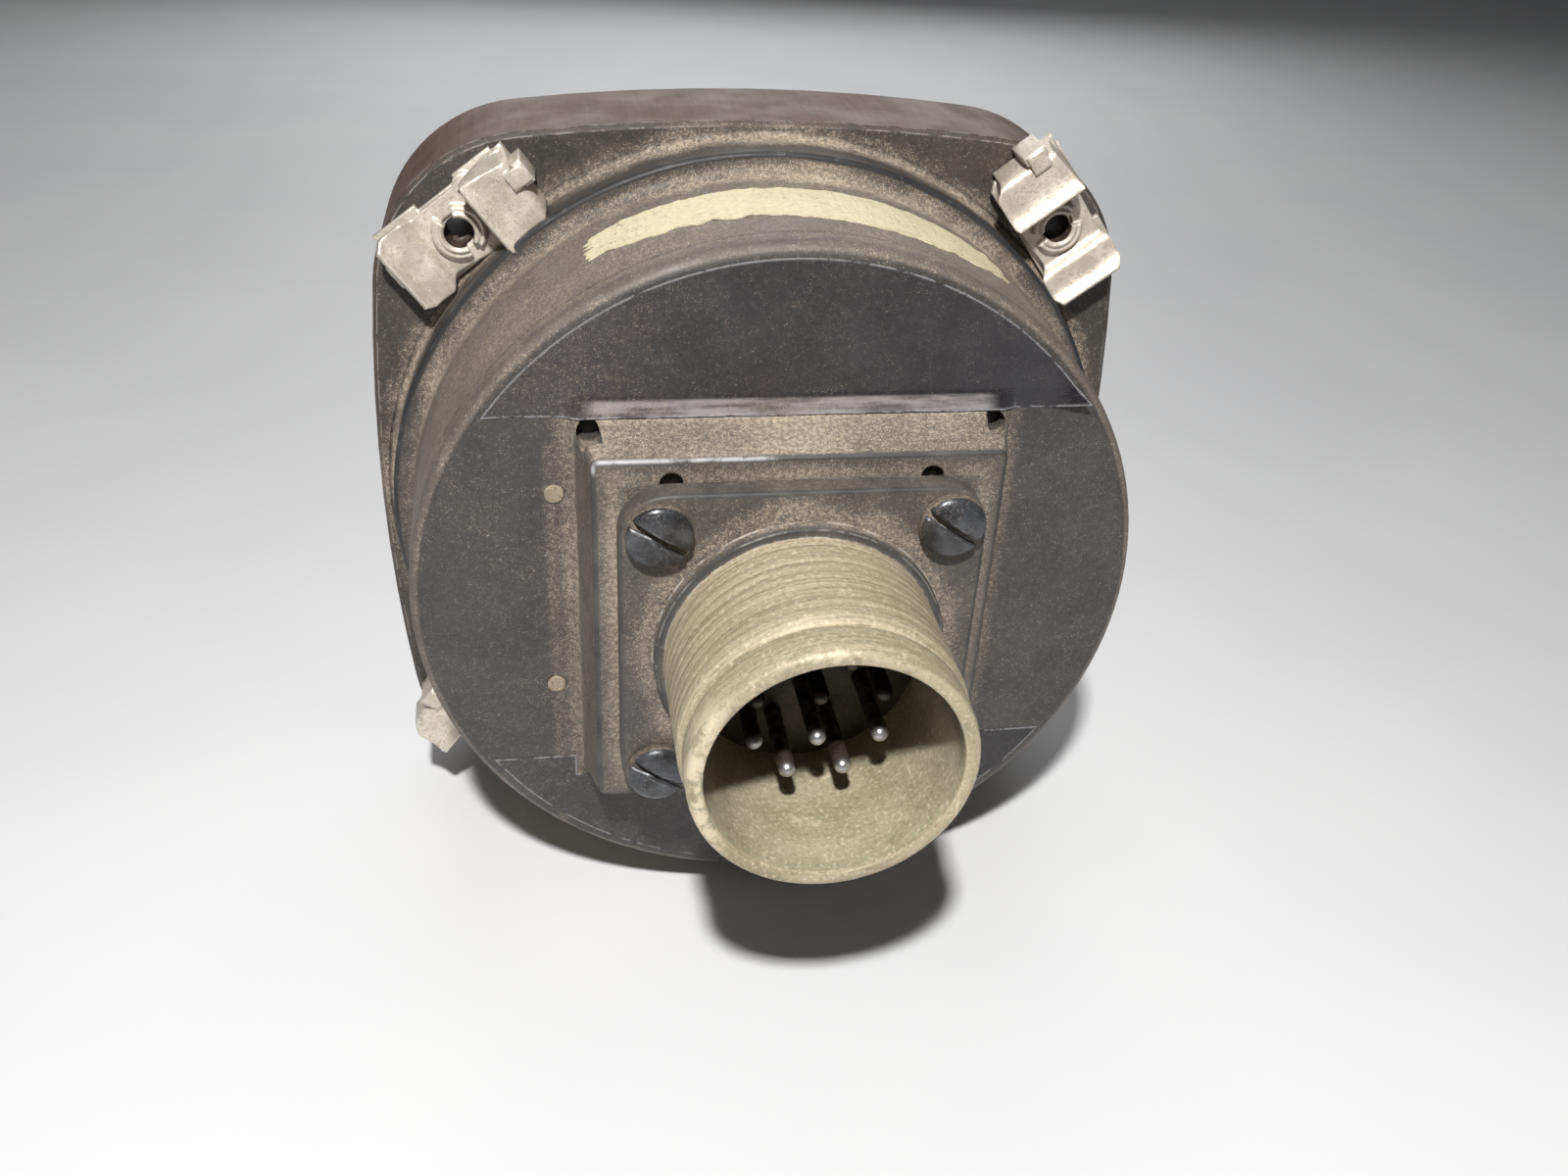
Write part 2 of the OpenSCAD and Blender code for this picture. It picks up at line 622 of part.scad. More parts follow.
// Pin through the pinion's hub and the shaft
module pinion_pin() color("silver") at([knob_x, knob_z])
    translate([-shaft_d/2 - 1.5, pin_y, 0]) rotate([0, 90, 0])
        cylinder(r = pin_r - 0.01, h = shaft_d + 3);

// Compound idler between the card's hub gear and the resolver gear
idler_axle_r = 1;
idler_bush_r = idler_axle_r + 1;
rear_gear_y = plate_back_y + 0.6;
rear_gear_face = 2;
resolver_plate_y = rear_gear_y + rear_gear_face + 0.6;
resolver_plate_t = 1.6;
module idler_gear() color("goldenrod") at([0, idler_z]) union() {
    slab(hub_y + 0.1, hub_back_y - 0.1)
        polygon(gear_outline(knob_teeth, hub_module, -90 + 180/knob_teeth, 4));
    rod(idler_axle_r, hub_y - 0.3, resolver_plate_y + 1.2);
    slab(rear_gear_y, rear_gear_y + rear_gear_face)
        polygon(gear_outline(knob_teeth, resolver_module, -90 + 180/knob_teeth, 3));
}

// Bush in the movement plate for the idler's axle
module idler_bush() color("goldenrod") at([0, idler_z])
    ring(idler_bush_r - 0.01, idler_axle_r + 0.04, plate_y - 0.1, plate_back_y + 0.3);

// Gear on the resolver's shaft, one turn for each turn of the card
resolver_shaft_r = 1.2;
lightening_r = 7.6;
lightening_hole_r = 2.4;
module resolver_gear() color("goldenrod") at([0, resolver_z]) difference() {
    slab(rear_gear_y, rear_gear_y + rear_gear_face)
        polygon(gear_outline(card_teeth, resolver_module, 90, 2));
    rod(resolver_shaft_r, rear_gear_y - cut, rear_gear_y + rear_gear_face + cut);
    for (a = [0 : 60 : 300]) at(polar(lightening_r, a))
        rod(lightening_hole_r, rear_gear_y - cut, rear_gear_y + rear_gear_face + cut);
}

// Shaft of the resolver
resolver_y = resolver_plate_y + resolver_plate_t;
module resolver_shaft() color("silver") at([0, resolver_z])
    rod(resolver_shaft_r, rear_gear_y - 0.2, resolver_y + 4);

// Resolver: can with a mounting flange, a pilot and a shaft bore
resolver_flange_r = resolver_d/2 + 3;
module resolver() color("lightgray") at([0, resolver_z]) difference() {
    union() {
        rod(resolver_flange_r, resolver_y, resolver_y + 1.2);
        rod(resolver_d/2, resolver_y, resolver_y + resolver_len);
        rod(4, resolver_plate_y + 0.2, resolver_y);
        for (a = [0 : 60 : 300]) at(polar(5.5, a))
            rod(0.5, resolver_y + resolver_len - cut, resolver_y + resolver_len + 1.2);
    }
    rod(resolver_shaft_r + 0.04, resolver_plate_y, resolver_y + 4.3);
    round_axis(resolver_screw_angles) at([resolver_flange_r - 1.5, 0])
        rod(0.8, resolver_y - cut, resolver_y + 1.2 + cut);
}

// Plate behind the movement that carries the resolver and the idler's rear bearing
resolver_screw_angles = [30, 150, 270];
standoff_x = 12.5;
standoff_r = 1.6;
standoff_low_z = resolver_z - 14.2;
module resolver_plate() color("silver") difference() {
    intersection() {
        rod(case_inner_r - 1, resolver_plate_y, resolver_y);
        translate([-standoff_x - 2, resolver_plate_y - cut, standoff_low_z - 2])
            cube([2*standoff_x + 4, resolver_plate_t + 2*cut, 2*case_inner_r]);
    }
    at([0, resolver_z]) {
        rod(4 + fit, resolver_plate_y - cut, resolver_y + cut);
        round_axis(resolver_screw_angles) at([resolver_flange_r - 1.5, 0])
            rod(0.65, resolver_plate_y - cut, resolver_y + cut);
    }
    at([0, idler_z]) rod(idler_axle_r + 0.04, resolver_plate_y - cut, resolver_y + cut);
}

// Standoffs between the movement plate and the resolver plate
module resolver_standoffs() color("silver") for (side = [-1, 1], z = [standoff_low_z, idler_z - 1.4])
    at([side*standoff_x, z]) rod(standoff_r, plate_back_y, resolver_plate_y);

// Screws that hold the resolver to its plate
module resolver_screws() color("black") at([0, resolver_z]) round_axis(resolver_screw_angles)
    at([resolver_flange_r - 1.5, 0]) rear_screw(1.2, 0.8, 0.6, resolver_plate_y + 0.2, resolver_y + 2);

// Terminal board in the lower half of the case
board_y = plate_back_y + 8;
board_t = 1.6;
board_w = 40;
board_h = 21;
board_gap = 1.3;
board_z = -sqrt(pow(case_inner_r - board_gap, 2) - pow(board_w/2, 2));
board_post_inset = 3;
board_places = [for (side = [-1, 1], z = [board_z + board_post_inset, board_z + board_h - 2])
    [side*(board_w/2 - board_post_inset), z]];
tag_pitch = 3.25;
module terminal_board() color("darkgoldenrod") difference() {
    translate([-board_w/2, board_y, board_z]) cube([board_w, board_t, board_h]);
    at_each(board_places) rod(0.9, board_y - cut, board_y + board_t + cut);
    for (i = [-4 : 4], z = [board_z + 2, board_z + board_h - 1.5])
        at([i*tag_pitch, z]) rod(0.5, board_y - cut, board_y + board_t + cut);
}

// Posts under the terminal board
module board_standoffs() color("silver") at_each(board_places) rod(1.7, plate_back_y, board_y);

// Screws that hold the terminal board
module board_screws() color("black") at_each(board_places)
    rear_screw(1.5, 0.9, 0.85, board_y + 0.1, board_y + board_t + 0.9);

// Resistors lying on the terminal board
resistor_r = 1.2;
resistor_len = 7.5;
lead_len = 15.5;
module board_resistors() color("tan") for (i = [-3 : 2 : 3])
    translate([i*tag_pitch, board_y + board_t + resistor_r, board_z + 3]) union() {
        translate([0, 0, (lead_len - resistor_len)/2]) cylinder(r = resistor_r, h = resistor_len);
        cylinder(r = 0.3, h = lead_len);
    }

// Rear case: spigot, boss, tapered barrel, rear disc and the hollow connector block
foot_r = 0.9;
heel_r = 1.2;
rear_edge_r = 1.5;
function arc(centre, r, a0, a1, n) = [for (i = [0 : n]) centre + polar(r, a0 + (a1 - a0)*i/n)];
case_section = concat(
    [[case_inner_r, bezel_depth - case_spigot_t], [case_seat_r - 0.1, bezel_depth - case_spigot_t],
     [case_seat_r - 0.1, bezel_depth], [boss_r + foot_r, bezel_depth]],
    arc([boss_r + foot_r, bezel_depth + foot_r], foot_r, 270, 180, 5),
    arc([boss_r - 0.4, boss_y - 0.4], 0.4, 0, 90, 3),
    arc([barrel_r + heel_r, boss_y + heel_r], heel_r, 270, 180, 5),
    arc([barrel_rear_r - rear_edge_r, case_depth - rear_edge_r], rear_edge_r, 0, 90, 6),
    [[0, case_depth], [0, case_floor_y], [case_inner_r, case_floor_y]]);
block_hole_x = 12.1;
relief_r = 1.15;
module rear_case() color("#4a4742") difference() {
    union() {
        turned(case_section);
        hull() {
            slab(case_depth - cut, case_depth + 0.05) polygon(soft_square(block_base_w + 1.2, 1.2));
            slab(case_depth, case_depth + 0.6) polygon(soft_square(block_base_w, 1));
        }
        hull() {
            slab(case_depth, case_depth + 0.6) polygon(soft_square(block_base_w, 1));
            slab(block_y - 0.3, block_y - 0.25) polygon(soft_square(block_w + 0.2, 0.9));
            slab(block_y - 0.05, block_y) polygon(soft_square(block_w - 0.3, 0.8));
        }
    }
    translate([-block_inner_w/2, case_floor_y - cut, -block_inner_w/2])
        cube([block_inner_w, block_y - case_wall - case_floor_y + cut, block_inner_w]);
    rod(block_hole_r, block_y - case_wall - cut, block_y + cut);
    at_each(flange_places) rod(1.3, block_y - case_wall - cut, block_y + cut);
    for (side = [-1, 1]) {
        at([side*block_hole_x, block_w/2 - 2.35]) rod(1.1, block_y - 1.5, block_y + cut);
        at([side*(block_base_w/2 - 1.35), block_base_w/2 - 0.95])
            rod(relief_r, case_depth - 1.1, case_depth + block_h*0.6);
    }
    at_each(rivet_places) rod(rivet_r + fit, case_depth - 1.2, case_depth + cut);
    round_axis(case_screw_angles) at([case_screw_r, 0]) {
        rod(case_screw_d/2 + 0.02, bezel_depth - cut, bezel_depth + 4);
        rod(case_screw_d/2 + 0.3, bezel_depth - case_spigot_t - cut, bezel_depth);
    }
}

// Light flush rivets in the rear disc
rivet_r = 0.95;
rivet_places = [[block_base_w/2 + 2, 12.8], [block_base_w/2 + 2.5, -9.2]];
module case_rivets() color("tan") at_each(rivet_places) rod(rivet_r, case_depth - 1.2, case_depth + 0.12);

// Long screws from under the window ring through bezel and plate into the case's boss
module case_screws() color("black") round_axis(case_screw_angles) at([case_screw_r, 0])
    slotted_screw(case_head_d/2, case_head_h, case_screw_d/2, case_head_y, bezel_depth + 3.8);

// Rubber gasket between the block and the flange
module connector_gasket() color("black") difference() {
    slab(block_y, flange_y) polygon(soft_square(flange_w - 0.6, 4.2));
    rod(block_hole_r, block_y - cut, flange_y + cut);
    at_each(flange_places) rod(1.5, block_y - cut, flange_y + cut);
}

// Connector shell: square flange, collar, thread and plain nose
shell_base_r = thread_r + 0.9;
collar_h = 1.2;
nose_h = 3.6;
thread_len = shell_h - nose_h - collar_h - 2.2;
thread_turns = floor(thread_len/thread_pitch);
module connector_shell() color("#8f8560") difference() {
    union() {
        slab(flange_y, flange_back_y - 0.2) polygon(soft_square(flange_w, 4.5));
        slab(flange_back_y - 0.2, flange_back_y) polygon(soft_square(flange_w - 0.3, 4.4));
        turned(concat(
            [[0, shell_rear_y], [shell_skirt_r, shell_rear_y], [shell_skirt_r, flange_y + 0.5],
             [shell_base_r, flange_back_y - 0.5], [shell_base_r, flange_back_y + collar_h],
             [thread_r - 0.5, flange_back_y + collar_h + 0.5]],
            [for (i = [0 : thread_turns - 1]) let (y = flange_back_y + collar_h + 1.2 + i*thread_pitch)
                each [[thread_r - 0.5, y], [thread_r, y + thread_pitch*0.35],
                      [thread_r, y + thread_pitch*0.6], [thread_r - 0.5, y + thread_pitch*0.95]]],
            [[thread_r - 0.7, rim_y - nose_h - 0.8], [thread_r - 0.7, rim_y - nose_h - 0.3],
             [nose_r, rim_y - nose_h], [nose_r, rim_y - 0.6], [nose_r - 0.35, rim_y], [0, rim_y]]));
    }
    rod(shell_bore_r, shell_rear_y - cut, rim_y + cut);
    at_each(flange_places) rod(1.45, flange_y - cut, flange_back_y + cut);
}

// Moulded insert that holds the contacts
key_place = [1.6, -8.4];
key_r = 0.6;
module connector_insert() color("#2c2b22") difference() {
    union() {
        rod(shell_bore_r - 0.02, shell_rear_y + 0.5, insert_face_y);
        at(key_place) rod(key_r, insert_face_y - cut, insert_face_y + 0.3);
    }
    at_each(pin_places) rod(pin_d/2 + 0.02, shell_rear_y, insert_face_y + cut);
}

// Round-tipped contact pins with solder cups at the rear of the insert
module contact_pins() color("silver") at_each(pin_places) difference() {
    union() {
        rod(pin_d/2, shell_rear_y - 2, pin_tip_y - pin_d/2);
        translate([0, pin_tip_y - pin_d/2, 0]) sphere(r = pin_d/2);
    }
    rod(pin_d/2 - 0.25, shell_rear_y - 2 - cut, shell_rear_y - 0.5);
}

// Slotted flange screws with domed heads, run into the nut plate
flange_head_r = 3.1;
flange_head_h = 1.9;
slot_turn = 33;
flange_head_dome = 0.9;
flange_slot_w = 0.7;
flange_slot_d = 1;
module connector_screws() color("#202022") at_each(flange_places) difference() {
    union() {
        turned(concat(
            [[0, flange_back_y], [flange_head_r - 0.15, flange_back_y], [flange_head_r, flange_back_y + 0.2]],
            [for (i = [0 : 6]) [flange_head_r*cos(15*i),
                                flange_back_y + flange_head_h - flange_head_dome*(1 - sin(15*i))]]));
        rod(1.2, block_y - case_wall - nut_plate_t - 0.4, flange_back_y + 0.2);
    }
    rotate([0, slot_turn, 0])
        translate([-flange_head_r - cut, flange_back_y + flange_head_h - flange_slot_d, -flange_slot_w/2])
        cube([2*(flange_head_r + cut), flange_slot_d + cut, flange_slot_w]);
}

// Nut plate inside the block
module connector_nut_plate() color("silver") difference() {
    slab(block_y - case_wall - nut_plate_t, block_y - case_wall) polygon(soft_square(block_inner_w - 0.8, 2));
    rod(block_hole_r + 0.2, block_y - case_wall - nut_plate_t - cut, block_y - case_wall + cut);
    at_each(flange_places)
        rod(1.22, block_y - case_wall - nut_plate_t - cut, block_y - case_wall + cut);
}

// Middle line of the clip's sheet: along the clip, height above the bezel
clip_line = [[-7.7, 0.3], [-7.5, 2.0], [-7.1, 2.3], [-4.0, 2.3], [-3.3, 1.1], [2.5, 1.1], [3.0, 1.6],
             [3.1, 3.6], [3.6, 4.1], [8.0, 4.1], [8.5, 3.7], [8.6, 0.6], [8.9, 0.3], [9.9, 0.3]];
// Unit vector from a to b, and the mitre at point i of a line
function unit(a, b) = (b - a)/norm(b - a);
function mitre(line, i) =
    let (d0 = unit(line[max(i - 1, 0)], line[max(i, 1)]),
         d1 = unit(line[min(i, len(line) - 2)], line[min(i + 1, len(line) - 1)]),
         n = [-d0[1] - d1[1], d0[0] + d1[0]])
    n/(1 + d0*d1);
function sheet_outline(line, t) = concat(
    [for (i = [0 : len(line) - 1]) line[i] + mitre(line, i)*t/2],
    [for (i = [len(line) - 1 : -1 : 0]) line[i] - mitre(line, i)*t/2]);
// Plan of the clip: along the clip, across it
clip_half = clip_w/2;
clip_plan = [[-8.2, -clip_half + 0.8], [-7.3, -clip_half], [-4.3, -clip_half], [-3.6, -clip_half + 0.5],
             [2.4, -clip_half + 0.3], [5.6, -clip_half], [7.2, -clip_half + 0.5], [8.1, -clip_half + 1.7],
             [9.2, -1.5], [11, -1.5],
             [11, 1.5], [9.2, 1.5], [9.0, clip_half], [2.6, clip_half], [2.2, clip_half - 0.5],
             [-3.6, clip_half - 0.5], [-4.3, clip_half], [-7.3, clip_half], [-8.2, clip_half - 0.8]];
collar_r = 2.8;
// One clip nut with its long axis along X and its hole at the origin of X and Z
module clip_nut() difference() {
    union() {
        intersection() {
            translate([0, bezel_depth, -clip_w]) linear_extrude(2*clip_w)
                polygon(sheet_outline(clip_line, clip_t));
            slab(bezel_depth - cut, bezel_depth + 6) polygon(clip_plan);
        }
        rod(collar_r, bezel_depth + 0.9, bezel_depth + 2.3);
        rod(mount_hole_d/2 - 0.1, bezel_depth - 2.5, bezel_depth + 1);
    }
    rod(clip_hole_d/2, bezel_depth - 3, bezel_depth + 5);
    rotate([0, 25, 0]) translate([0, bezel_depth + 1.7, -0.35]) cube([collar_r, 2, 0.7]);
}
// Clip nuts behind three corners; the fourth corner holds the knob
module clip_nut_upper_right() color("lightgray") at([1, 1]*mount_pitch/2)
    rotate([0, -135 - clip_turn, 0]) mirror([0, 0, 1]) clip_nut();
module clip_nut_upper_left() color("lightgray") at([-1, 1]*mount_pitch/2)
    rotate([0, -45 - clip_turn, 0]) clip_nut();
module clip_nut_lower_right() color("lightgray") at([1, -1]*mount_pitch/2)
    rotate([0, -45 + clip_turn, 0]) clip_nut();

bezel();
window_ring();
window_ring_screws();
window_gasket();
window_glass();
glass_spacer();
index_ring();
dial_plate();
dial_screws();
course_card();
card_screws();
card_gear();
movement_frame();
needle_meter_yoke();
needle_meter_core();
needle_meter_bridge();
needle_meter_coil();
needle_staffs();
needle_hairspring();
deviation_needle();
to_from_meter();
to_from_flag();
warning_meter();
warning_flag();
selector_knob();
knob_set_screw();
knob_shaft();
shaft_bush();
course_pinion();
pinion_pin();
idler_gear();
idler_bush();
resolver_gear();
resolver_shaft();
resolver();
resolver_plate();
resolver_standoffs();
resolver_screws();
terminal_board();
board_standoffs();
board_screws();
board_resistors();
rear_case();
case_rivets();
case_screws();
connector_gasket();
connector_shell();
connector_insert();
contact_pins();
connector_screws();
connector_nut_plate();
clip_nut_upper_right();
clip_nut_upper_left();
clip_nut_lower_right();
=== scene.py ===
import math

import bmesh
import bpy
from mathutils import Matrix, Vector, noise


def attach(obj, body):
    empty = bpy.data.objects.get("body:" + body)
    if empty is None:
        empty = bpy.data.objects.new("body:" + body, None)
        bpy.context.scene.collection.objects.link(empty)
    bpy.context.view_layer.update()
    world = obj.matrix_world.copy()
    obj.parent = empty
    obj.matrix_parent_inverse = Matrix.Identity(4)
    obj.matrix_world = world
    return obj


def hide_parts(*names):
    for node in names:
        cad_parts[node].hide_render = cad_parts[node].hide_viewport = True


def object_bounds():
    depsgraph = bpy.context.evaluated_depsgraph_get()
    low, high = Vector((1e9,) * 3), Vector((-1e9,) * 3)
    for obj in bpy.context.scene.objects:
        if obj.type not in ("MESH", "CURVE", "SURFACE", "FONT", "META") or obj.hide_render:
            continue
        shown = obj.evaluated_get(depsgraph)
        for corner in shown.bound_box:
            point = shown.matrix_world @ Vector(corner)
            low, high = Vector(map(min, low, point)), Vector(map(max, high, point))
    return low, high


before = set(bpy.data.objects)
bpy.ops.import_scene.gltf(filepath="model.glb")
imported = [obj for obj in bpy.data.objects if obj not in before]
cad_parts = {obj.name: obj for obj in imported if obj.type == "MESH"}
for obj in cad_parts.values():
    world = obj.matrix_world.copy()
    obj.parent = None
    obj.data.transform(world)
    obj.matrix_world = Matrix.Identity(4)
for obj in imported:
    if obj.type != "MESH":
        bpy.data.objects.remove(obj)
cad_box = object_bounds()

# Bezel
# A square die casting in charcoal enamel. Its sides are rubbed brown, and its rear
# face is dusty, most of all in the corner where the case's boss meets it.
mm = 0.001
bezel_back_y = 14.8 * mm
boss_r = 39.6 * mm
boss_back_y = 20.0 * mm


def fill(tree, node, inputs):
    """Links each named socket of the node to another socket, or sets it to a value."""
    for key, value in inputs.items():
        socket = node.inputs[key]
        if isinstance(value, bpy.types.NodeSocket):
            tree.links.new(value, socket)
        else:
            socket.default_value = value


def add(tree, kind, inputs=None, **settings):
    """A node of that kind, with its settings made and its sockets filled."""
    node = tree.nodes.new(kind)
    for key, value in settings.items():
        setattr(node, key, value)
    fill(tree, node, inputs or {})
    return node


def calc(tree, operation, a, b=0.0, clamp=False):
    """The output of a Math node."""
    return add(tree, "ShaderNodeMath", {0: a, 1: b}, operation=operation, use_clamp=clamp).outputs[0]


def plus(tree, a, b, clamp=False):
    """a + b"""
    return calc(tree, "ADD", a, b, clamp)


def minus(tree, a, b):
    """a - b"""
    return calc(tree, "SUBTRACT", a, b)


def times(tree, first, *others):
    """The product of two or more."""
    for other in others:
        first = calc(tree, "MULTIPLY", first, other)
    return first


def off(tree, value, middle):
    """How far value is from middle, on either side."""
    return calc(tree, "ABSOLUTE", minus(tree, value, middle))


def hypotenuse(tree, a, b):
    """The length of a vector with the parts a and b."""
    return calc(tree, "SQRT", plus(tree, calc(tree, "POWER", a, 2.0), calc(tree, "POWER", b, 2.0)))


def remap(tree, value, low, high, out_low=0.0, out_high=1.0):
    """value eased from low..high to out_low..out_high, and held outside them."""
    node = add(tree, "ShaderNodeMapRange",
               {"Value": value, "From Min": low, "From Max": high, "To Min": out_low, "To Max": out_high},
               interpolation_type="SMOOTHSTEP")
    return node.outputs[0]


def mix(tree, factor, a, b):
    """Colour a blended to colour b by factor."""
    node = add(tree, "ShaderNodeMix", {0: factor}, data_type="RGBA")
    for index, value in ((6, a), (7, b)):
        fill(tree, node, {index: value if isinstance(value, bpy.types.NodeSocket) else (*value, 1.0)})
    return node.outputs[2]


def noise_at(tree, scale, detail=2.0, roughness=0.55, stretch=None, warp=0.0):
    """A noise over the object's own coordinates, in cells per metre, stretched if asked."""
    where = tree.nodes.new("ShaderNodeTexCoord").outputs["Object"]
    if stretch:
        where = add(tree, "ShaderNodeMapping", {"Vector": where, "Scale": stretch}).outputs[0]
    node = add(tree, "ShaderNodeTexNoise",
               {"Vector": where, "Scale": scale, "Detail": detail, "Roughness": roughness, "Distortion": warp})
    return node.outputs["Fac"]


def mottled(tree, scale, detail, dark, light, low=0.3, high=0.7, roughness=0.55):
    """A colour from dark to light, by a noise eased from low to high."""
    return mix(tree, remap(tree, noise_at(tree, scale, detail, roughness), low, high), dark, light)


def blotchy(tree, scale, detail, low, high):
    """A value between low and high, by a noise."""
    return remap(tree, noise_at(tree, scale, detail), 0.3, 0.7, low, high)


def position(tree):
    """The three object coordinates."""
    return add(tree, "ShaderNodeSeparateXYZ", {0: tree.nodes.new("ShaderNodeTexCoord").outputs["Object"]}).outputs


def new_group(name, inputs, outputs):
    """An empty shader node group with float inputs, and its input and output nodes."""
    group = bpy.data.node_groups.new(name, "ShaderNodeTree")
    for label, value in inputs.items():
        group.interface.new_socket(label, in_out="INPUT", socket_type="NodeSocketFloat").default_value = value
    for label, kind in outputs.items():
        group.interface.new_socket(label, in_out="OUTPUT", socket_type=kind)
    return group, group.nodes.new("NodeGroupInput").outputs, group.nodes.new("NodeGroupOutput").inputs


def use(tree, group, **inputs):
    """A node of the group in this tree, whose outputs are read by name."""
    node = add(tree, "ShaderNodeGroup", node_tree=group)
    fill(tree, node, {key.capitalize(): value for key, value in inputs.items()})
    return node.outputs


# Dust: a thin haze and fine grains that cover a surface by amount, in patches and two tans
dust_group, given, out = new_group(
    "dust", {"Amount": 0.3, "Grain": 7200.0, "Soft": 0.16},
    {"Mask": "NodeSocketFloat", "Color": "NodeSocketColor"})
tree = dust_group
fine = noise_at(tree, 1.0)
tree.links.new(given["Grain"], fine.node.inputs["Scale"])
coarse = remap(tree, noise_at(tree, 1500.0, 2.0), 0.3, 0.7)
grains = plus(tree, times(tree, remap(tree, fine, 0.26, 0.74), 0.85),
              times(tree, coarse, 0.15))
patches = remap(tree, noise_at(tree, 75.0, 4.0, 0.65), 0.25, 0.75, 0.66, 1.34)
cover = times(tree, given["Amount"], patches)
edge = minus(tree, 1.0, cover)
grainy = remap(tree, grains, minus(tree, edge, given["Soft"]), plus(tree, edge, given["Soft"]))
tree.links.new(plus(tree, times(tree, cover, 0.5), times(tree, grainy, 0.5), clamp=True),
               out["Mask"])
tree.links.new(mottled(tree, 2600.0, 1.0, (0.31, 0.250, 0.190), (0.52, 0.425, 0.325), 0.36, 0.64), out["Color"])

# Ring band: 1 on a circle round the Y axis, falling to 0 at width from it
ring_band, given, out = new_group(
    "ring band", {"Radius": 0.04, "Depth": 0.02, "Width": 0.002}, {"Mask": "NodeSocketFloat"})
tree = ring_band
place = position(tree)
radial = hypotenuse(tree, place[0], place[2])
gap = hypotenuse(tree, off(tree, radial, given["Radius"]), off(tree, place[1], given["Depth"]))
gap = plus(tree, gap, times(tree, remap(tree, noise_at(tree, 260.0, 3.0), 0.3, 0.7, -1.0, 1.0),
                            times(tree, given["Width"], 0.25)))
tree.links.new(minus(tree, 1.0, remap(tree, gap, 0.0, given["Width"])), out["Mask"])

# Square band: the same round a square outline of that half width
square_band, given, out = new_group(
    "square band", {"Half": 0.02, "Depth": 0.04, "Width": 0.002}, {"Mask": "NodeSocketFloat"})
tree = square_band
place = position(tree)
side = calc(tree, "MAXIMUM", calc(tree, "ABSOLUTE", place[0]), calc(tree, "ABSOLUTE", place[2]))
gap = hypotenuse(tree, off(tree, side, given["Half"]), off(tree, place[1], given["Depth"]))
tree.links.new(minus(tree, 1.0, remap(tree, gap, 0.0, given["Width"])), out["Mask"])

# Edge wear: finds edges by how far a rounded normal leaves the true one
edge_group, given, out = new_group(
    "edge wear", {"Amount": 0.5}, {"Mask": "NodeSocketFloat", "Normal": "NodeSocketVector"})
tree = edge_group
rounded = add(tree, "ShaderNodeBevel", {"Radius": 0.00035}, samples=6).outputs[0]
true_normal = tree.nodes.new("ShaderNodeNewGeometry").outputs["Normal"]
bend = add(tree, "ShaderNodeVectorMath", {0: rounded, 1: true_normal}, operation="DOT_PRODUCT").outputs["Value"]
turned = remap(tree, bend, 0.99, 0.88)
half_amount = times(tree, given["Amount"], 0.5)
ragged = remap(tree, noise_at(tree, 420.0, 4.0, 0.7), minus(tree, 0.75, half_amount),
               minus(tree, 0.85, half_amount))
tree.links.new(times(tree, turned, ragged), out["Mask"])
tree.links.new(rounded, out["Normal"])

# Scratches: thin broken lines in one direction
scratch_group, given, out = new_group(
    "scratches", {"Amount": 0.5, "Lean": 0.6}, {"Mask": "NodeSocketFloat"})
tree = scratch_group
lines = add(tree, "ShaderNodeMapping",
            {"Vector": tree.nodes.new("ShaderNodeTexCoord").outputs["Object"],
             "Rotation": add(tree, "ShaderNodeCombineXYZ", {0: 0.3, 1: given["Lean"], 2: 0.2}).outputs[0],
             "Scale": (2600.0, 70.0, 70.0)}).outputs[0]
line_noise = add(tree, "ShaderNodeTexNoise",
                 {"Vector": lines, "Scale": 1.0, "Detail": 2.0, "Roughness": 0.5}).outputs["Fac"]
breaks = remap(tree, noise_at(tree, 130.0, 2.0), 0.5, 0.62)
tree.links.new(times(tree, remap(tree, line_noise, 0.66, 0.74), breaks, given["Amount"]), out["Mask"])


def new_material(name):
    """A node material with its Principled BSDF."""
    material = bpy.data.materials.new(name)
    material.use_nodes = True
    tree = material.node_tree
    return material, tree, tree.nodes["Principled BSDF"]


def facing(tree):
    """The normal's three parts, in the part's own frame."""
    normal = tree.nodes.new("ShaderNodeNewGeometry").outputs["Normal"]
    return add(tree, "ShaderNodeSeparateXYZ", {0: normal}).outputs


def surface(tree, shader, colour, roughness, height, distance, normal=None):
    """Gives the shader its colour, its roughness and the bump of a height over a distance."""
    inputs = {"Height": height, "Distance": distance, "Strength": 1.0}
    if normal is not None:
        inputs["Normal"] = normal
    bumped = add(tree, "ShaderNodeBump", inputs).outputs[0]
    fill(tree, shader, {"Base Color": colour, "Roughness": roughness, "Normal": bumped})


def band_sum(tree, bands, start):
    """start plus each band's mask times its strength. A band is its group, strength and sizes."""
    total = start
    for group, strength, sizes in bands:
        mask = use(tree, group, **sizes)["Mask"]
        total = plus(tree, total, times(tree, mask, strength))
    return total


def dusty_paint(tree, shader, paint, amount, wear=0.5, worn=(0.22, 0.22, 0.23), gloss=0.42, grain=7200.0):
    """Paint with dust by amount, bright ragged edges, and the bump of both."""
    edges = use(tree, edge_group, amount=wear)
    dust = use(tree, dust_group, amount=amount, grain=grain)
    rubbed = mix(tree, edges["Mask"], paint, worn)
    smudge = blotchy(tree, 160.0, 4.0, gloss - 0.08, gloss + 0.12)
    pores = noise_at(tree, 5200.0, 2.0)
    surface(tree, shader, mix(tree, dust["Mask"], rubbed, dust["Color"]),
            remap(tree, dust["Mask"], 0.0, 1.0, smudge, 0.95),
            plus(tree, times(tree, pores, 0.25), dust["Mask"]), 0.00004, edges["Normal"])


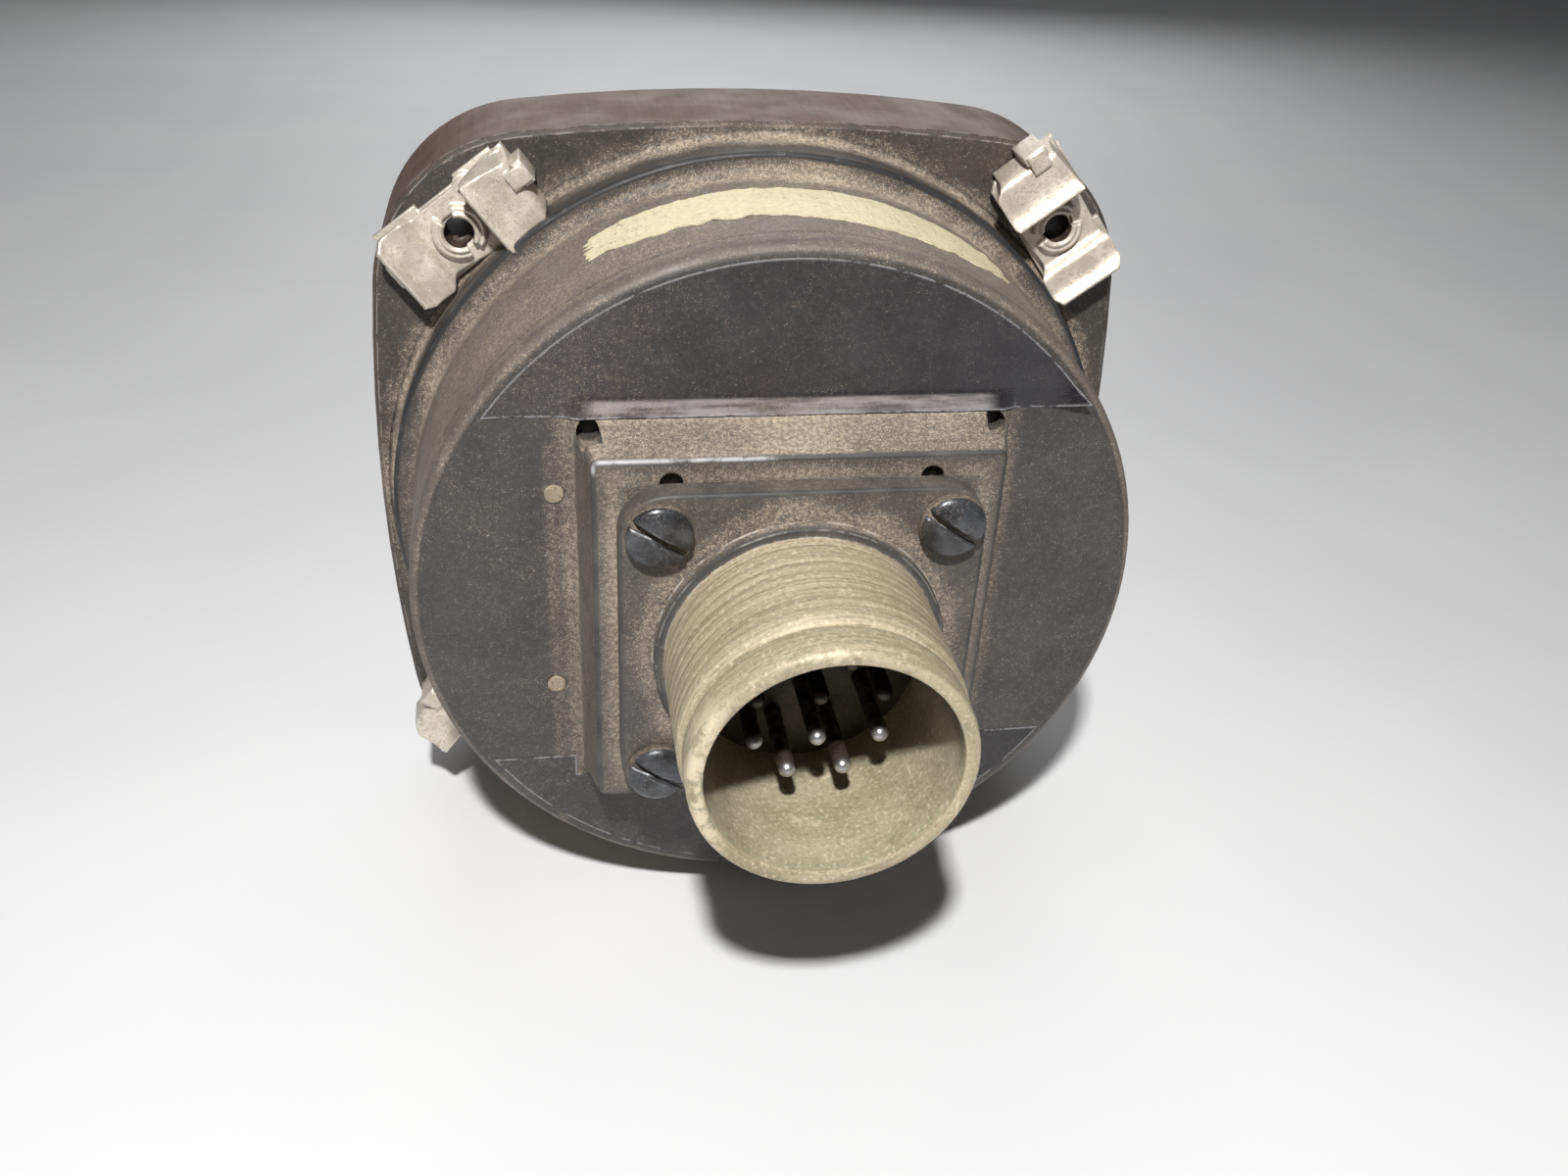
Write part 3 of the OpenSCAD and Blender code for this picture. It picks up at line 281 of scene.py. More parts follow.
def dress(name, material):
    """Gives a CAD node the material in each of its slots."""
    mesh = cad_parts[name].data
    if not mesh.materials:
        mesh.materials.append(material)
    for index in range(len(mesh.materials)):
        mesh.materials[index] = material


bezel_enamel, tree, shader = new_material("bezel_enamel")
normal = facing(tree)
rear = remap(tree, normal[1], 0.5, 0.8)
flat = remap(tree, calc(tree, "ABSOLUTE", normal[1]), 0.5, 0.8)
streaks = plus(tree, times(tree, noise_at(tree, 1.0, 2.0, 0.5, stretch=(1900.0, 160.0, 1900.0)), 0.4),
               times(tree, noise_at(tree, 210.0, 5.0, 0.7), 0.6))
side_colour = mix(tree, remap(tree, streaks, 0.35, 0.65), (0.082, 0.052, 0.043), (0.122, 0.079, 0.064))
rear_colour = mottled(tree, 240.0, 4.0, (0.020, 0.019, 0.019), (0.040, 0.035, 0.031), 0.35, 0.7)
amount = band_sum(tree, [(ring_band, 0.32, {"radius": boss_r + 0.5 * mm, "depth": bezel_back_y, "width": 2.0 * mm})],
                  plus(tree, 0.05, times(tree, rear, 0.06)))
bezel_paint = mix(tree, flat, side_colour, rear_colour)
dusty_paint(tree, shader, bezel_paint, amount, wear=0.6, worn=(0.42, 0.38, 0.36), gloss=0.56)
dress("bezel", bezel_enamel)

# Window
# A turned ring in matt black holds the flat glass against a rubber ring, with a
# spacer behind it. Four small blackened screws hold the ring to the bezel.
black_paint, tree, shader = new_material("matt_black_paint")
rough_black = mottled(tree, 500.0, 4.0, (0.012, 0.012, 0.013), (0.024, 0.023, 0.022), 0.35, 0.65)
dusty_paint(tree, shader, rough_black, 0.16, wear=0.7, worn=(0.28, 0.28, 0.29), gloss=0.5)
for name in ("window_ring", "glass_spacer", "index_ring"):
    dress(name, black_paint)

rubber, tree, shader = new_material("black_rubber")
surface(tree, shader, mottled(tree, 900.0, 3.0, (0.010, 0.010, 0.010), (0.030, 0.028, 0.026)),
        blotchy(tree, 700.0, 3.0, 0.7, 0.9), noise_at(tree, 2600.0, 3.0), 0.00003)
for name in ("window_gasket", "connector_gasket"):
    dress(name, rubber)

glass, tree, shader = new_material("window_glass")
film = use(tree, dust_group, amount=0.07, grain=6000.0)["Mask"]
surface(tree, shader, (0.97, 0.985, 0.98, 1.0), remap(tree, film, 0.0, 1.0, 0.02, 0.5),
        noise_at(tree, 60.0, 2.0), 0.00002)
fill(tree, shader, {"Transmission Weight": 1.0, "IOR": 1.49})
dress("window_glass", glass)


def metal(name, dark, light, roughness, stretch=None, dust=0.1, wear=0.5, worn=(0.7, 0.68, 0.62)):
    """Bare or plated metal with tool marks, a little dust and bright edges."""
    material, tree, shader = new_material(name)
    marks = noise_at(tree, 1.0 if stretch else 900.0, 4.0, 0.65, stretch=stretch)
    base = mix(tree, remap(tree, marks, 0.3, 0.7), dark, light)
    edges = use(tree, edge_group, amount=wear)
    grains = use(tree, dust_group, amount=dust)
    sheen = remap(tree, marks, 0.25, 0.75, roughness - 0.08, roughness + 0.12)
    surface(tree, shader, mix(tree, grains["Mask"], mix(tree, edges["Mask"], base, worn), grains["Color"]),
            remap(tree, grains["Mask"], 0.0, 1.0, sheen, 0.95),
            plus(tree, times(tree, marks, 0.5), grains["Mask"]), 0.00002, edges["Normal"])
    fill(tree, shader, {"Metallic": remap(tree, grains["Mask"], 0.0, 1.0, 1.0, 0.0)})
    return material


turning = (120.0, 5200.0, 120.0)
black_steel = metal("blackened_steel", (0.018, 0.020, 0.026), (0.060, 0.064, 0.075), 0.34, dust=0.2, wear=0.55,
                    worn=(0.42, 0.44, 0.5))
bright_steel = metal("bright_steel", (0.38, 0.38, 0.39), (0.62, 0.62, 0.62), 0.28, turning, dust=0.06)
brass = metal("brass", (0.42, 0.27, 0.08), (0.66, 0.47, 0.18), 0.3, turning, dust=0.08, worn=(0.85, 0.68, 0.34))
aluminium = metal("aluminium", (0.46, 0.46, 0.47), (0.68, 0.68, 0.68), 0.38, turning, dust=0.08)
for name in ("window_ring_screws", "dial_screws", "case_screws", "resolver_screws", "board_screws"):
    dress(name, black_steel)

# Card and dial
# The ring card turns behind the window with white ticks every five degrees and
# plain course numbers. The fixed dial inside it has the deviation dots.
card_front_y = 5.4 * mm
dial_front_y = 4.4 * mm
ink_lift = 0.04 * mm
card_black, tree, shader = new_material("dial_black")
surface(tree, shader, mottled(tree, 1400.0, 3.0, (0.010, 0.010, 0.011), (0.019, 0.019, 0.020)),
        blotchy(tree, 300.0, 3.0, 0.55, 0.75), noise_at(tree, 4000.0, 2.0), 0.00001)
for name in ("course_card", "dial_plate"):
    dress(name, card_black)


def painted(name, dark, light, roughness=0.55):
    """Thin plain paint or ink, a little uneven."""
    material, tree, shader = new_material(name)
    uneven = remap(tree, noise_at(tree, 1300.0, 4.0, 0.65), 0.3, 0.7)
    surface(tree, shader, mix(tree, uneven, dark, light),
            remap(tree, uneven, 0.0, 1.0, roughness, roughness + 0.15), noise_at(tree, 3600.0, 2.0), 0.00001)
    return material


white_ink = painted("white_ink", (0.62, 0.61, 0.56), (0.80, 0.79, 0.74))
signal_orange = painted("signal_orange", (0.62, 0.10, 0.02), (0.80, 0.17, 0.03))


def finish_piece(bm, name, material, body):
    """Makes the bmesh an object at the origin that rides on the body."""
    mesh = bpy.data.meshes.new(name)
    bm.to_mesh(mesh)
    bm.free()
    mesh.materials.append(material)
    piece = bpy.data.objects.new(name, mesh)
    bpy.context.scene.collection.objects.link(piece)
    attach(piece, body)
    return piece


def face_outwards(bm):
    """Makes all the normals of the mesh point outwards."""
    bmesh.ops.recalc_face_normals(bm, faces=bm.faces[:])


def facing_front(angle=0.0):
    """Turns a drawing in X and Y to face the user, then by angle clockwise round the dial."""
    return Matrix.Rotation(math.radians(angle), 4, "Y") @ Matrix.Rotation(math.radians(90), 4, "X")


def verts_in(geom):
    """The vertices among what an operator made."""
    return [item for item in geom if isinstance(item, bmesh.types.BMVert)]


def edges_between(bm, verts):
    """The edges with both ends among the vertices."""
    return [e for e in bm.edges if e.verts[0] in verts and e.verts[1] in verts]


def add_bar(bm, width, length, centre_z, y, angle):
    """A thin painted bar on the dial, upright at centre_z before it turns by angle."""
    bar = bmesh.ops.create_grid(bm, x_segments=1, y_segments=1, size=0.5)["verts"]
    bmesh.ops.scale(bm, vec=(width, length, 1), verts=bar)
    bmesh.ops.translate(bm, vec=(0, centre_z, 0), verts=bar)
    bmesh.ops.transform(bm, matrix=Matrix.Translation((0, y, 0)) @ facing_front(angle), verts=bar)


tick_outer_r = 33.3 * mm
long_tick, short_tick = 2.6 * mm, 1.5 * mm
broad_tick, fine_tick = 0.42 * mm, 0.3 * mm
ticks = bmesh.new()
for degree in range(0, 360, 5):
    length = long_tick if degree % 10 == 0 else short_tick
    width = broad_tick if degree % 30 == 0 else fine_tick
    add_bar(ticks, width, length, tick_outer_r - length / 2, card_front_y - ink_lift, degree)
finish_piece(ticks, "card_ticks", white_ink, "card")

number_r = 28.4 * mm
number_size = 3.5 * mm
numbers = bmesh.new()
for degree in range(0, 360, 30):
    text = bpy.data.curves.new("number", "FONT")
    text.body = str(degree // 10)
    text.size = number_size
    text.align_x = "CENTER"
    text.align_y = "CENTER"
    writing = bpy.data.objects.new("number", text)
    flat = bpy.data.meshes.new_from_object(writing)
    flat.transform(Matrix.Translation((0, card_front_y - ink_lift, 0)) @ facing_front(degree)
                   @ Matrix.Translation((0, number_r, 0)))
    numbers.from_mesh(flat)
    bpy.data.objects.remove(writing)
    bpy.data.meshes.remove(flat)
finish_piece(numbers, "card_numbers", white_ink, "card")

pivot_z = 12.0 * mm
dot_reach = 26.0 * mm
dot_r = 0.55 * mm
on_dial = Matrix.Translation((0, dial_front_y - ink_lift, pivot_z))
dots = bmesh.new()
for step in (-20, -16, -12, -8, -4, 4, 8, 12, 16, 20):
    dot = bmesh.ops.create_circle(dots, cap_ends=True, segments=24, radius=dot_r)["verts"]
    bmesh.ops.translate(dots, vec=(0, -dot_reach, 0), verts=dot)
    bmesh.ops.transform(dots, matrix=on_dial @ facing_front(step), verts=dot)
ring_outer_r, ring_inner_r = 2.1 * mm, 1.75 * mm
rim = bmesh.ops.create_circle(dots, cap_ends=False, segments=48, radius=ring_outer_r)["verts"]
inner_verts = verts_in(bmesh.ops.extrude_edge_only(dots, edges=edges_between(dots, rim))["geom"])
bmesh.ops.scale(dots, vec=(ring_inner_r / ring_outer_r,) * 3, verts=inner_verts)
both = list(rim) + inner_verts
bmesh.ops.translate(dots, vec=(0, -dot_reach, 0), verts=both)
bmesh.ops.transform(dots, matrix=on_dial @ facing_front(0), verts=both)
finish_piece(dots, "deviation_dots", white_ink, "root")

pointer_y = 4.16 * mm
pointer_half, pointer_base_r, pointer_tip_r = 1.5 * mm, 34.6 * mm, 29.9 * mm
pointer_shape = ((-pointer_half, pointer_base_r), (pointer_half, pointer_base_r), (0, pointer_tip_r))
pointers = bmesh.new()
for turn in (0, 180):
    corners = [pointers.verts.new((x, y, 0)) for x, y in pointer_shape]
    pointers.faces.new(corners)
    bmesh.ops.transform(pointers, matrix=Matrix.Translation((0, pointer_y, 0)) @ facing_front(turn), verts=corners)
face_outwards(pointers)
finish_piece(pointers, "index_pointers", white_ink, "root")

# Course knob
# A fluted black moulding on a steel shaft, with a white line on its face. A brass
# bush carries the shaft through the bezel to the pinion.
knob_x = knob_z = -29.1328 * mm
knob_face_y = -16.1 * mm
knob_plastic, tree, shader = new_material("knob_plastic")
knob_black = mottled(tree, 700.0, 3.0, (0.010, 0.010, 0.011), (0.020, 0.020, 0.021))
dusty_paint(tree, shader, knob_black, 0.17, wear=0.3, worn=(0.10, 0.10, 0.11), gloss=0.33)
dress("selector_knob", knob_plastic)
for name in ("knob_set_screw", "knob_shaft", "pinion_pin", "card_screws"):
    dress(name, bright_steel)
for name in ("shaft_bush", "course_pinion", "card_gear"):
    dress(name, brass)
line_width, line_length, line_centre = 0.7 * mm, 4.6 * mm, 3.4 * mm
line = bmesh.new()
add_bar(line, line_width, line_length, line_centre, 0.0, 0)
bmesh.ops.translate(line, vec=(knob_x, knob_face_y - ink_lift, knob_z), verts=line.verts[:])
finish_piece(line, "knob_line", white_ink, "knob")

# Indicator movement
# A steel ring meter swings the needle, and two can meters turn the flags. The
# movement stands on an aluminium frame behind the dial.
dress("movement_frame", aluminium)
iron = metal("soft_iron", (0.10, 0.10, 0.105), (0.20, 0.20, 0.205), 0.42, dust=0.05)
copper = metal("winding_wire", (0.30, 0.10, 0.035), (0.50, 0.20, 0.08), 0.35, (300.0, 9000.0, 300.0), dust=0.02)
for name in ("needle_meter_yoke", "needle_meter_core", "to_from_meter", "warning_meter"):
    dress(name, iron)
dress("needle_meter_bridge", brass)
dress("needle_meter_coil", copper)
for name in ("needle_staffs", "needle_hairspring"):
    dress(name, bright_steel)
for name in ("deviation_needle", "to_from_flag"):
    dress(name, white_ink)
dress("warning_flag", signal_orange)
flag_axis_x = 12.0 * mm
flag_axis_z = -5.0 * mm
flag_front_y = 5.6 * mm
arrows = bmesh.new()
for angle, up in ((60, 1), (-60, -1)):
    tip = [arrows.verts.new((x * mm, (5.5 + up * y) * mm, 0)) for x, y in ((-1.7, -1.4), (1.7, -1.4), (0, 1.5))]
    arrows.faces.new(tip)
    bmesh.ops.transform(arrows, matrix=Matrix.Translation((flag_axis_x, flag_front_y - ink_lift, flag_axis_z))
                        @ facing_front(angle), verts=tip)
face_outwards(arrows)
flag_black = painted("flag_black", (0.012, 0.012, 0.013), (0.024, 0.024, 0.025))
finish_piece(arrows, "to_from_arrows", flag_black, "to_from_pointer")

# Resolver train and terminal board
# Brass gears drive the resolver behind the movement. The terminal board below it
# carries four small resistors.
for name in ("idler_gear", "idler_bush", "resolver_gear"):
    dress(name, brass)
for name in ("resolver_shaft", "resolver", "connector_nut_plate"):
    dress(name, bright_steel)
for name in ("resolver_plate", "resolver_standoffs", "board_standoffs"):
    dress(name, aluminium)
dress("terminal_board", painted("board_laminate", (0.20, 0.11, 0.035), (0.34, 0.20, 0.07), 0.4))
dress("board_resistors", painted("resistor_lacquer", (0.28, 0.13, 0.06), (0.42, 0.22, 0.11), 0.25))

# Rear case
# One casting in matt charcoal enamel: boss, tapered barrel, end disc and the square
# block. Dust lies in every inside corner and on what faces up.
case_back_y = 39.0 * mm
barrel_r = 37.0 * mm
block_half = 20.55 * mm
block_face_y = 45.3 * mm
flange_half = 17.1 * mm
case_enamel, tree, shader = new_material("case_enamel")
normal, where = facing(tree), position(tree)
across = hypotenuse(tree, where[0], where[2])
on_barrel = times(tree, remap(tree, where[1], boss_back_y + 0.2 * mm, boss_back_y + 1.2 * mm),
                 remap(tree, across, barrel_r - 1.2 * mm, barrel_r - 0.7 * mm))
on_block = times(tree, remap(tree, where[1], case_back_y + 0.1 * mm, case_back_y + 0.7 * mm),
                remap(tree, across, 31.0 * mm, 30.0 * mm))
block_top = times(tree, on_block, remap(tree, normal[2], 0.55, 0.9))
rings = noise_at(tree, 1.0, 5.0, 0.7, stretch=(240.0, 1500.0, 240.0))
disc_paint = mottled(tree, 170.0, 4.0, (0.022, 0.023, 0.026), (0.034, 0.034, 0.036), 0.25, 0.75)
barrel_paint = mix(tree, remap(tree, rings, 0.3, 0.7), (0.078, 0.068, 0.065), (0.108, 0.092, 0.085))
block_paint = mottled(tree, 260.0, 4.0, (0.040, 0.040, 0.040), (0.085, 0.080, 0.074))
paint = mix(tree, on_block, mix(tree, on_barrel, disc_paint, barrel_paint), block_paint)
seam_y = case_back_y - 2.9 * mm
seam = times(tree, on_barrel, remap(tree, off(tree, where[1], seam_y), 0.45 * mm, 0.1 * mm))
paint = mix(tree, times(tree, seam, 0.8), paint, (0.016, 0.016, 0.019))
block_edge = use(tree, square_band, half=block_half - 1.4 * mm, depth=block_face_y, width=0.42 * mm)["Mask"]
# A thin light grey line along the top edge of the block's rear face, on its +X part, broken by a noise.
block_top_edge_line = times(tree, block_edge, remap(tree, where[2], 17.5 * mm, 18.3 * mm),
                  remap(tree, where[0], 1.0 * mm, 5.0 * mm))
block_top_edge_line = times(tree, block_top_edge_line, remap(tree, noise_at(tree, 450.0, 4.0, 0.7), 0.34, 0.55))
paint = mix(tree, block_top_edge_line, paint, (0.50, 0.49, 0.50))
rivet_x = 23.0 * mm
rivet_line = times(tree, remap(tree, off(tree, where[0], rivet_x), 0.9 * mm, 0.1 * mm),
                   remap(tree, where[2], 18.5 * mm, 17.0 * mm))
amount = band_sum(tree, [
    (ring_band, 0.52, {"radius": boss_r, "depth": bezel_back_y + 0.4 * mm, "width": 3.0 * mm}),
    (ring_band, 0.40, {"radius": barrel_r + 0.9 * mm, "depth": boss_back_y + 0.6 * mm, "width": 2.2 * mm}),
    (ring_band, -0.6, {"radius": boss_r - 0.1 * mm, "depth": boss_back_y - 0.1 * mm, "width": 0.6 * mm}),
    (ring_band, -0.2, {"radius": barrel_r - 0.1 * mm, "depth": case_back_y - 0.9 * mm, "width": 1.5 * mm}),
    (square_band, 0.26, {"half": block_half + 0.6 * mm, "depth": case_back_y, "width": 1.9 * mm}),
    (square_band, -0.45, {"half": block_half - 1.35 * mm, "depth": block_face_y, "width": 0.6 * mm}),
    (square_band, 0.26, {"half": flange_half + 0.2 * mm, "depth": block_face_y, "width": 1.4 * mm}),
], 0.13)
for share, strength in ((on_barrel, 0.24), (on_block, 0.12), (block_top, 0.30), (rivet_line, 0.14)):
    amount = plus(tree, amount, times(tree, share, strength))
dusty_paint(tree, shader, paint, amount, wear=0.38, worn=(0.36, 0.35, 0.35), gloss=0.5)
dress("rear_case", case_enamel)

rivet_metal = metal("rivet_metal", (0.30, 0.24, 0.17), (0.50, 0.42, 0.31), 0.55, dust=0.42, wear=0.3)
dress("case_rivets", rivet_metal)

# Rear labels
# Two segments of glossy black foil, bare of any print. The upper one bridges the
# block's foot along its straight edge, and its right corner has lifted.
foil_lift = 0.07 * mm
foil_gauge = 0.09 * mm
label_black, tree, shader = new_material("label_foil")
where = position(tree)
sleeks = use(tree, scratch_group, amount=0.6, lean=0.9)["Mask"]
lip_z = 21.5 * mm
lip = times(tree, remap(tree, off(tree, where[2], lip_z), 0.9 * mm, 0.5 * mm),
            remap(tree, calc(tree, "ABSOLUTE", where[0]), 20.0 * mm, 18.0 * mm))
more_to_left = remap(tree, where[0], -26.0 * mm, 30.0 * mm, 0.05, 0.15)
specks = use(tree, dust_group, amount=plus(tree, times(tree, lip, 0.08), more_to_left), grain=9000.0)
edge_rub = use(tree, edge_group, amount=0.7)
foil = mottled(tree, 200.0, 4.0, (0.0095, 0.0095, 0.0145), (0.016, 0.016, 0.022))
foil = mix(tree, times(tree, sleeks, 0.35), foil, (0.10, 0.10, 0.12))
# Painted highlight: where the glossy foil bends over the block's foot, it is drawn lighter grey in streaks along the
# fold.
fold_highlight_streaks = remap(tree, noise_at(tree, 1.0, 3.0, 0.6, stretch=(160.0, 500.0, 1500.0)), 0.32, 0.62, 0.25, 1.0)
foil = mix(tree, times(tree, lip, fold_highlight_streaks), foil, (0.25, 0.235, 0.245))
foil = mix(tree, edge_rub["Mask"], foil, (0.33, 0.33, 0.35))
smears = blotchy(tree, 260.0, 4.0, 0.2, 0.38)
surface(tree, shader, mix(tree, specks["Mask"], foil, specks["Color"]),
        remap(tree, specks["Mask"], 0.0, 1.0, smears, 0.9), noise_at(tree, 420.0, 2.0), 0.00006)


def facing_rear(y):
    """Turns a drawing in X and Y to face the rear, at that depth."""
    return Matrix.Translation((0, y, 0)) @ Matrix.Rotation(math.radians(-90), 4, "X")


def cut_all(bm, point, normal, clear_inner=False, clear_outer=False):
    """Cuts the whole mesh along a plane, and drops one side of it if asked."""
    bmesh.ops.bisect_plane(bm, geom=bm.verts[:] + bm.edges[:] + bm.faces[:], plane_co=point, plane_no=normal,
                           clear_inner=clear_inner, clear_outer=clear_outer)


def foil_segment(radius, chord_z, upper):
    """A flat disc segment at the case's rear face, cut off at chord_z."""
    bm = bmesh.new()
    bmesh.ops.create_circle(bm, cap_ends=True, segments=128, radius=radius)
    bmesh.ops.transform(bm, matrix=facing_rear(case_back_y + foil_lift), verts=bm.verts[:])
    cut_all(bm, (0, 0, chord_z), (0, 0, 1), clear_inner=upper, clear_outer=not upper)
    return bm


def slice_foil(bm, places, normal):
    """Cuts the foil along planes so that it can bend there."""
    for place in places:
        cut_all(bm, Vector(normal) * place, normal)


def thicken(bm, thickness, axis=1):
    """Gives the sheet its thickness, against the side that faces along the axis."""
    face_outwards(bm)
    if sum(f.normal[axis] * f.calc_area() for f in bm.faces) < 0:
        bmesh.ops.reverse_faces(bm, faces=bm.faces[:])
    bmesh.ops.solidify(bm, geom=bm.faces[:], thickness=thickness)


upper_chord_z = 20.7 * mm
bridge_half = 20.2 * mm
bridge_top_z = 22.9 * mm
bridge_rise = 0.62 * mm
bm = foil_segment(35.5 * mm, upper_chord_z, upper=True)
slice_foil(bm, [z * mm for z in (20.98, 21.26, 21.54, 21.82, 22.1, 22.38, 22.66, 22.94, 23.3, 24.5, 26)], (0, 0, 1))
slice_foil(bm, [side * x * mm for side in (-1, 1) for x in (18, 19.6, 20.2, 20.8, 21.4, 22, 23, 24, 25, 26, 27)]
           + [k * 3.0 * mm for k in range(-5, 6)], (1, 0, 0))
for v in bm.verts:
    down = min(max((bridge_top_z - v.co.z) / (bridge_top_z - upper_chord_z), 0), 1)
    inside = min(max((bridge_half + 1.2 * mm - abs(v.co.x)) / (1.2 * mm), 0), 1)
    v.co.y += bridge_rise * down ** 1.6 * inside
    ripple = noise.noise(Vector((v.co.x * 420, v.co.z * 300, 1.7)))
    v.co.z += 0.10 * mm * ripple * (v.co.z < upper_chord_z + 0.05 * mm)
    v.co.y += 0.035 * mm * abs(ripple)
    lifted = min(max((-v.co.x - 24.8 * mm) / (3.2 * mm), 0), 1) * min(max((24.4 * mm - v.co.z) / (3.4 * mm), 0), 1)
    v.co.y += 1.15 * mm * lifted ** 1.5
    v.co.z += 0.5 * mm * lifted ** 2
thicken(bm, foil_gauge)
face_outwards(bm)
finish_piece(bm, "upper_label", label_black, "root")

lower_chord_z = -18.7 * mm
notch_half = 21.35 * mm
notch_z = -21.3 * mm
bm = foil_segment(35.2 * mm, lower_chord_z, upper=False)
slice_foil(bm, [-notch_half, notch_half, -26 * mm, 26 * mm], (1, 0, 0))
slice_foil(bm, [notch_z, -22.0 * mm, -24.0 * mm, -28.0 * mm], (0, 0, 1))
face_middles = [(f, f.calc_center_median()) for f in bm.faces]
inside_notch = [f for f, centre in face_middles if abs(centre.x) < notch_half and centre.z > notch_z]
bmesh.ops.delete(bm, geom=inside_notch, context="FACES")
for v in bm.verts:
    if v.co.z > lower_chord_z - 0.05 * mm:
        v.co.z += 0.12 * mm * noise.noise(Vector((v.co.x * 500, 0, 4.2)))
thicken(bm, foil_gauge)
face_outwards(bm)
finish_piece(bm, "lower_label", label_black, "root")

# Marking tape
# A torn strip of cream masking tape on top of the barrel, blank, with its crepe
# wrinkles and ragged edges.
tape_front_y = 24.3 * mm
tape_back_y = 32.0 * mm
tape_slant = 0.045 * mm
tape_gauge = 0.12 * mm
tape_lift = 0.07 * mm
barrel_front_r, barrel_back_r = 37.4 * mm, 36.9 * mm
tape_from, tape_to = 37.5, -29.7
tape_paper, tree, shader = new_material("masking_tape")
crepe = noise_at(tree, 1.0, 3.0, 0.6, stretch=(1500.0, 5200.0, 1500.0))
wrinkle = noise_at(tree, 1.0, 2.0, 0.5, stretch=(2300.0, 320.0, 2300.0), warp=0.6)
fibres = remap(tree, noise_at(tree, 1.0, 3.0, 0.7, stretch=(560.0, 2400.0, 560.0), warp=1.2), 0.62, 0.7)
stains = remap(tree, noise_at(tree, 210.0, 3.0), 0.45, 0.75)
crack_noise = noise_at(tree, 420.0, 3.0, 0.6, warp=1.5)
cracks = times(tree, remap(tree, off(tree, crack_noise, 0.5), 0.012, 0.002),
               remap(tree, noise_at(tree, 150.0, 2.0), 0.46, 0.58))
paper = mix(tree, remap(tree, crepe, 0.3, 0.7), (0.60, 0.53, 0.355), (0.76, 0.69, 0.49))
for mask, share, colour in ((stains, 0.25, (0.50, 0.41, 0.25)), (fibres, 0.4, (0.28, 0.22, 0.14)),
                            (cracks, 0.75, (0.16, 0.12, 0.08))):
    paper = mix(tree, times(tree, mask, share), paper, colour)
surface(tree, shader, paper, remap(tree, crepe, 0.3, 0.7, 0.7, 0.9), plus(tree, crepe, wrinkle), 0.00011)

bm = bmesh.new()
bmesh.ops.create_grid(bm, x_segments=150, y_segments=18, size=0.5)
for v in bm.verts:
    u, w = v.co.x + 0.5, v.co.y + 0.5
    turn = tape_from + (tape_to - tape_from) * u
    angle = math.radians(turn)
    front = tape_front_y + 0.4 * mm * noise.fractal(Vector((u * 16, 3.1, 0)), 1.0, 2.0, 4)
    back = tape_back_y + tape_slant * turn - 0.2 * mm * max(turn - 22, 0)
    back += 0.55 * mm * noise.fractal(Vector((u * 19, 8.4, 0)), 1.0, 2.0, 4)
    ends = min(u, 1 - u) * 14
    pinch = 1 - 0.22 * math.exp(-ends * ends * 1.4)
    y = (front + back) / 2 + (w - 0.5) * (back - front) * pinch
    ragged = math.radians(1.5) * noise.fractal(Vector((w * 9, 5.5 if u < 0.5 else 7.7, 0)), 1.0, 2.0, 3)
    angle += ragged * max(0.0, 1 - ends / 1.5)
    radius = barrel_front_r + (barrel_back_r - barrel_front_r) * (y - boss_back_y) / (case_back_y - boss_back_y)
    radius += tape_lift
    radius += 0.05 * mm * abs(noise.fractal(Vector((u * 60, w * 5, 2.0)), 1.0, 2.0, 3))
    radius += 0.16 * mm * max(0.0, 1 - min(w, 1 - w) * 9) * max(0.0, noise.noise(Vector((u * 30, w * 2, 9.0))))
    v.co = (-radius * math.sin(angle), y, radius * math.cos(angle))
thicken(bm, tape_gauge, axis=2)
face_outwards(bm)
finish_piece(bm, "marking_tape", tape_paper, "root")

# Connector
# An olive plated shell with a square flange, coarse thread and plain nose. The flange
# has gone dark under dust, and the nose is rubbed to bare metal in places.
flange_front_y = 45.7 * mm
flange_back_y = 48.15 * mm
collar_r = 14.0 * mm
shell_root_y = 49.35 * mm
rim_y = 67.0 * mm
bore_r = 11.3 * mm
merge_gap = 1e-6


def bore_shade(tree, where, low, high):
    """1 in the upper part of the bore, which its rim keeps from the key light."""
    shade_lean = 0.24
    return remap(tree, plus(tree, where[2], times(tree, where[0], shade_lean)), low, high)


khaki_plate, tree, shader = new_material("khaki_plating")
where = position(tree)
across = hypotenuse(tree, where[0], where[2])
in_bore = times(tree, remap(tree, across, bore_r + 0.35 * mm, bore_r + 0.1 * mm),
               remap(tree, where[1], rim_y - 0.3 * mm, rim_y - 0.9 * mm))
lathe = noise_at(tree, 1.0, 4.0, 0.7, stretch=(60.0, 3000.0, 60.0))
khaki = mix(tree, remap(tree, lathe, 0.3, 0.7), (0.31, 0.262, 0.168), (0.53, 0.450, 0.310))
nicks = remap(tree, noise_at(tree, 1.0, 2.0, 0.5, stretch=(260.0, 5200.0, 260.0)), 0.36, 0.30)
khaki = mix(tree, times(tree, nicks, 0.6), khaki, (0.16, 0.13, 0.08))
bore_olive = mottled(tree, 260.0, 4.0, (0.34, 0.305, 0.200), (0.46, 0.42, 0.300), roughness=0.6)
in_shade = bore_shade(tree, where, -4.0 * mm, 1.0 * mm)
bore_olive = mix(tree, in_shade, bore_olive, (0.045, 0.036, 0.025))
khaki = mix(tree, in_bore, khaki, bore_olive)
verdigris = remap(tree, noise_at(tree, 210.0, 4.0, 0.6), 0.52, 0.68)
near_rim = remap(tree, where[1], rim_y - 4.0 * mm, rim_y - 0.5 * mm)
khaki = mix(tree, times(tree, times(tree, verdigris, near_rim), 0.45), khaki, (0.26, 0.29, 0.19))
speckle = noise_at(tree, 2600.0, 3.0, 0.65)
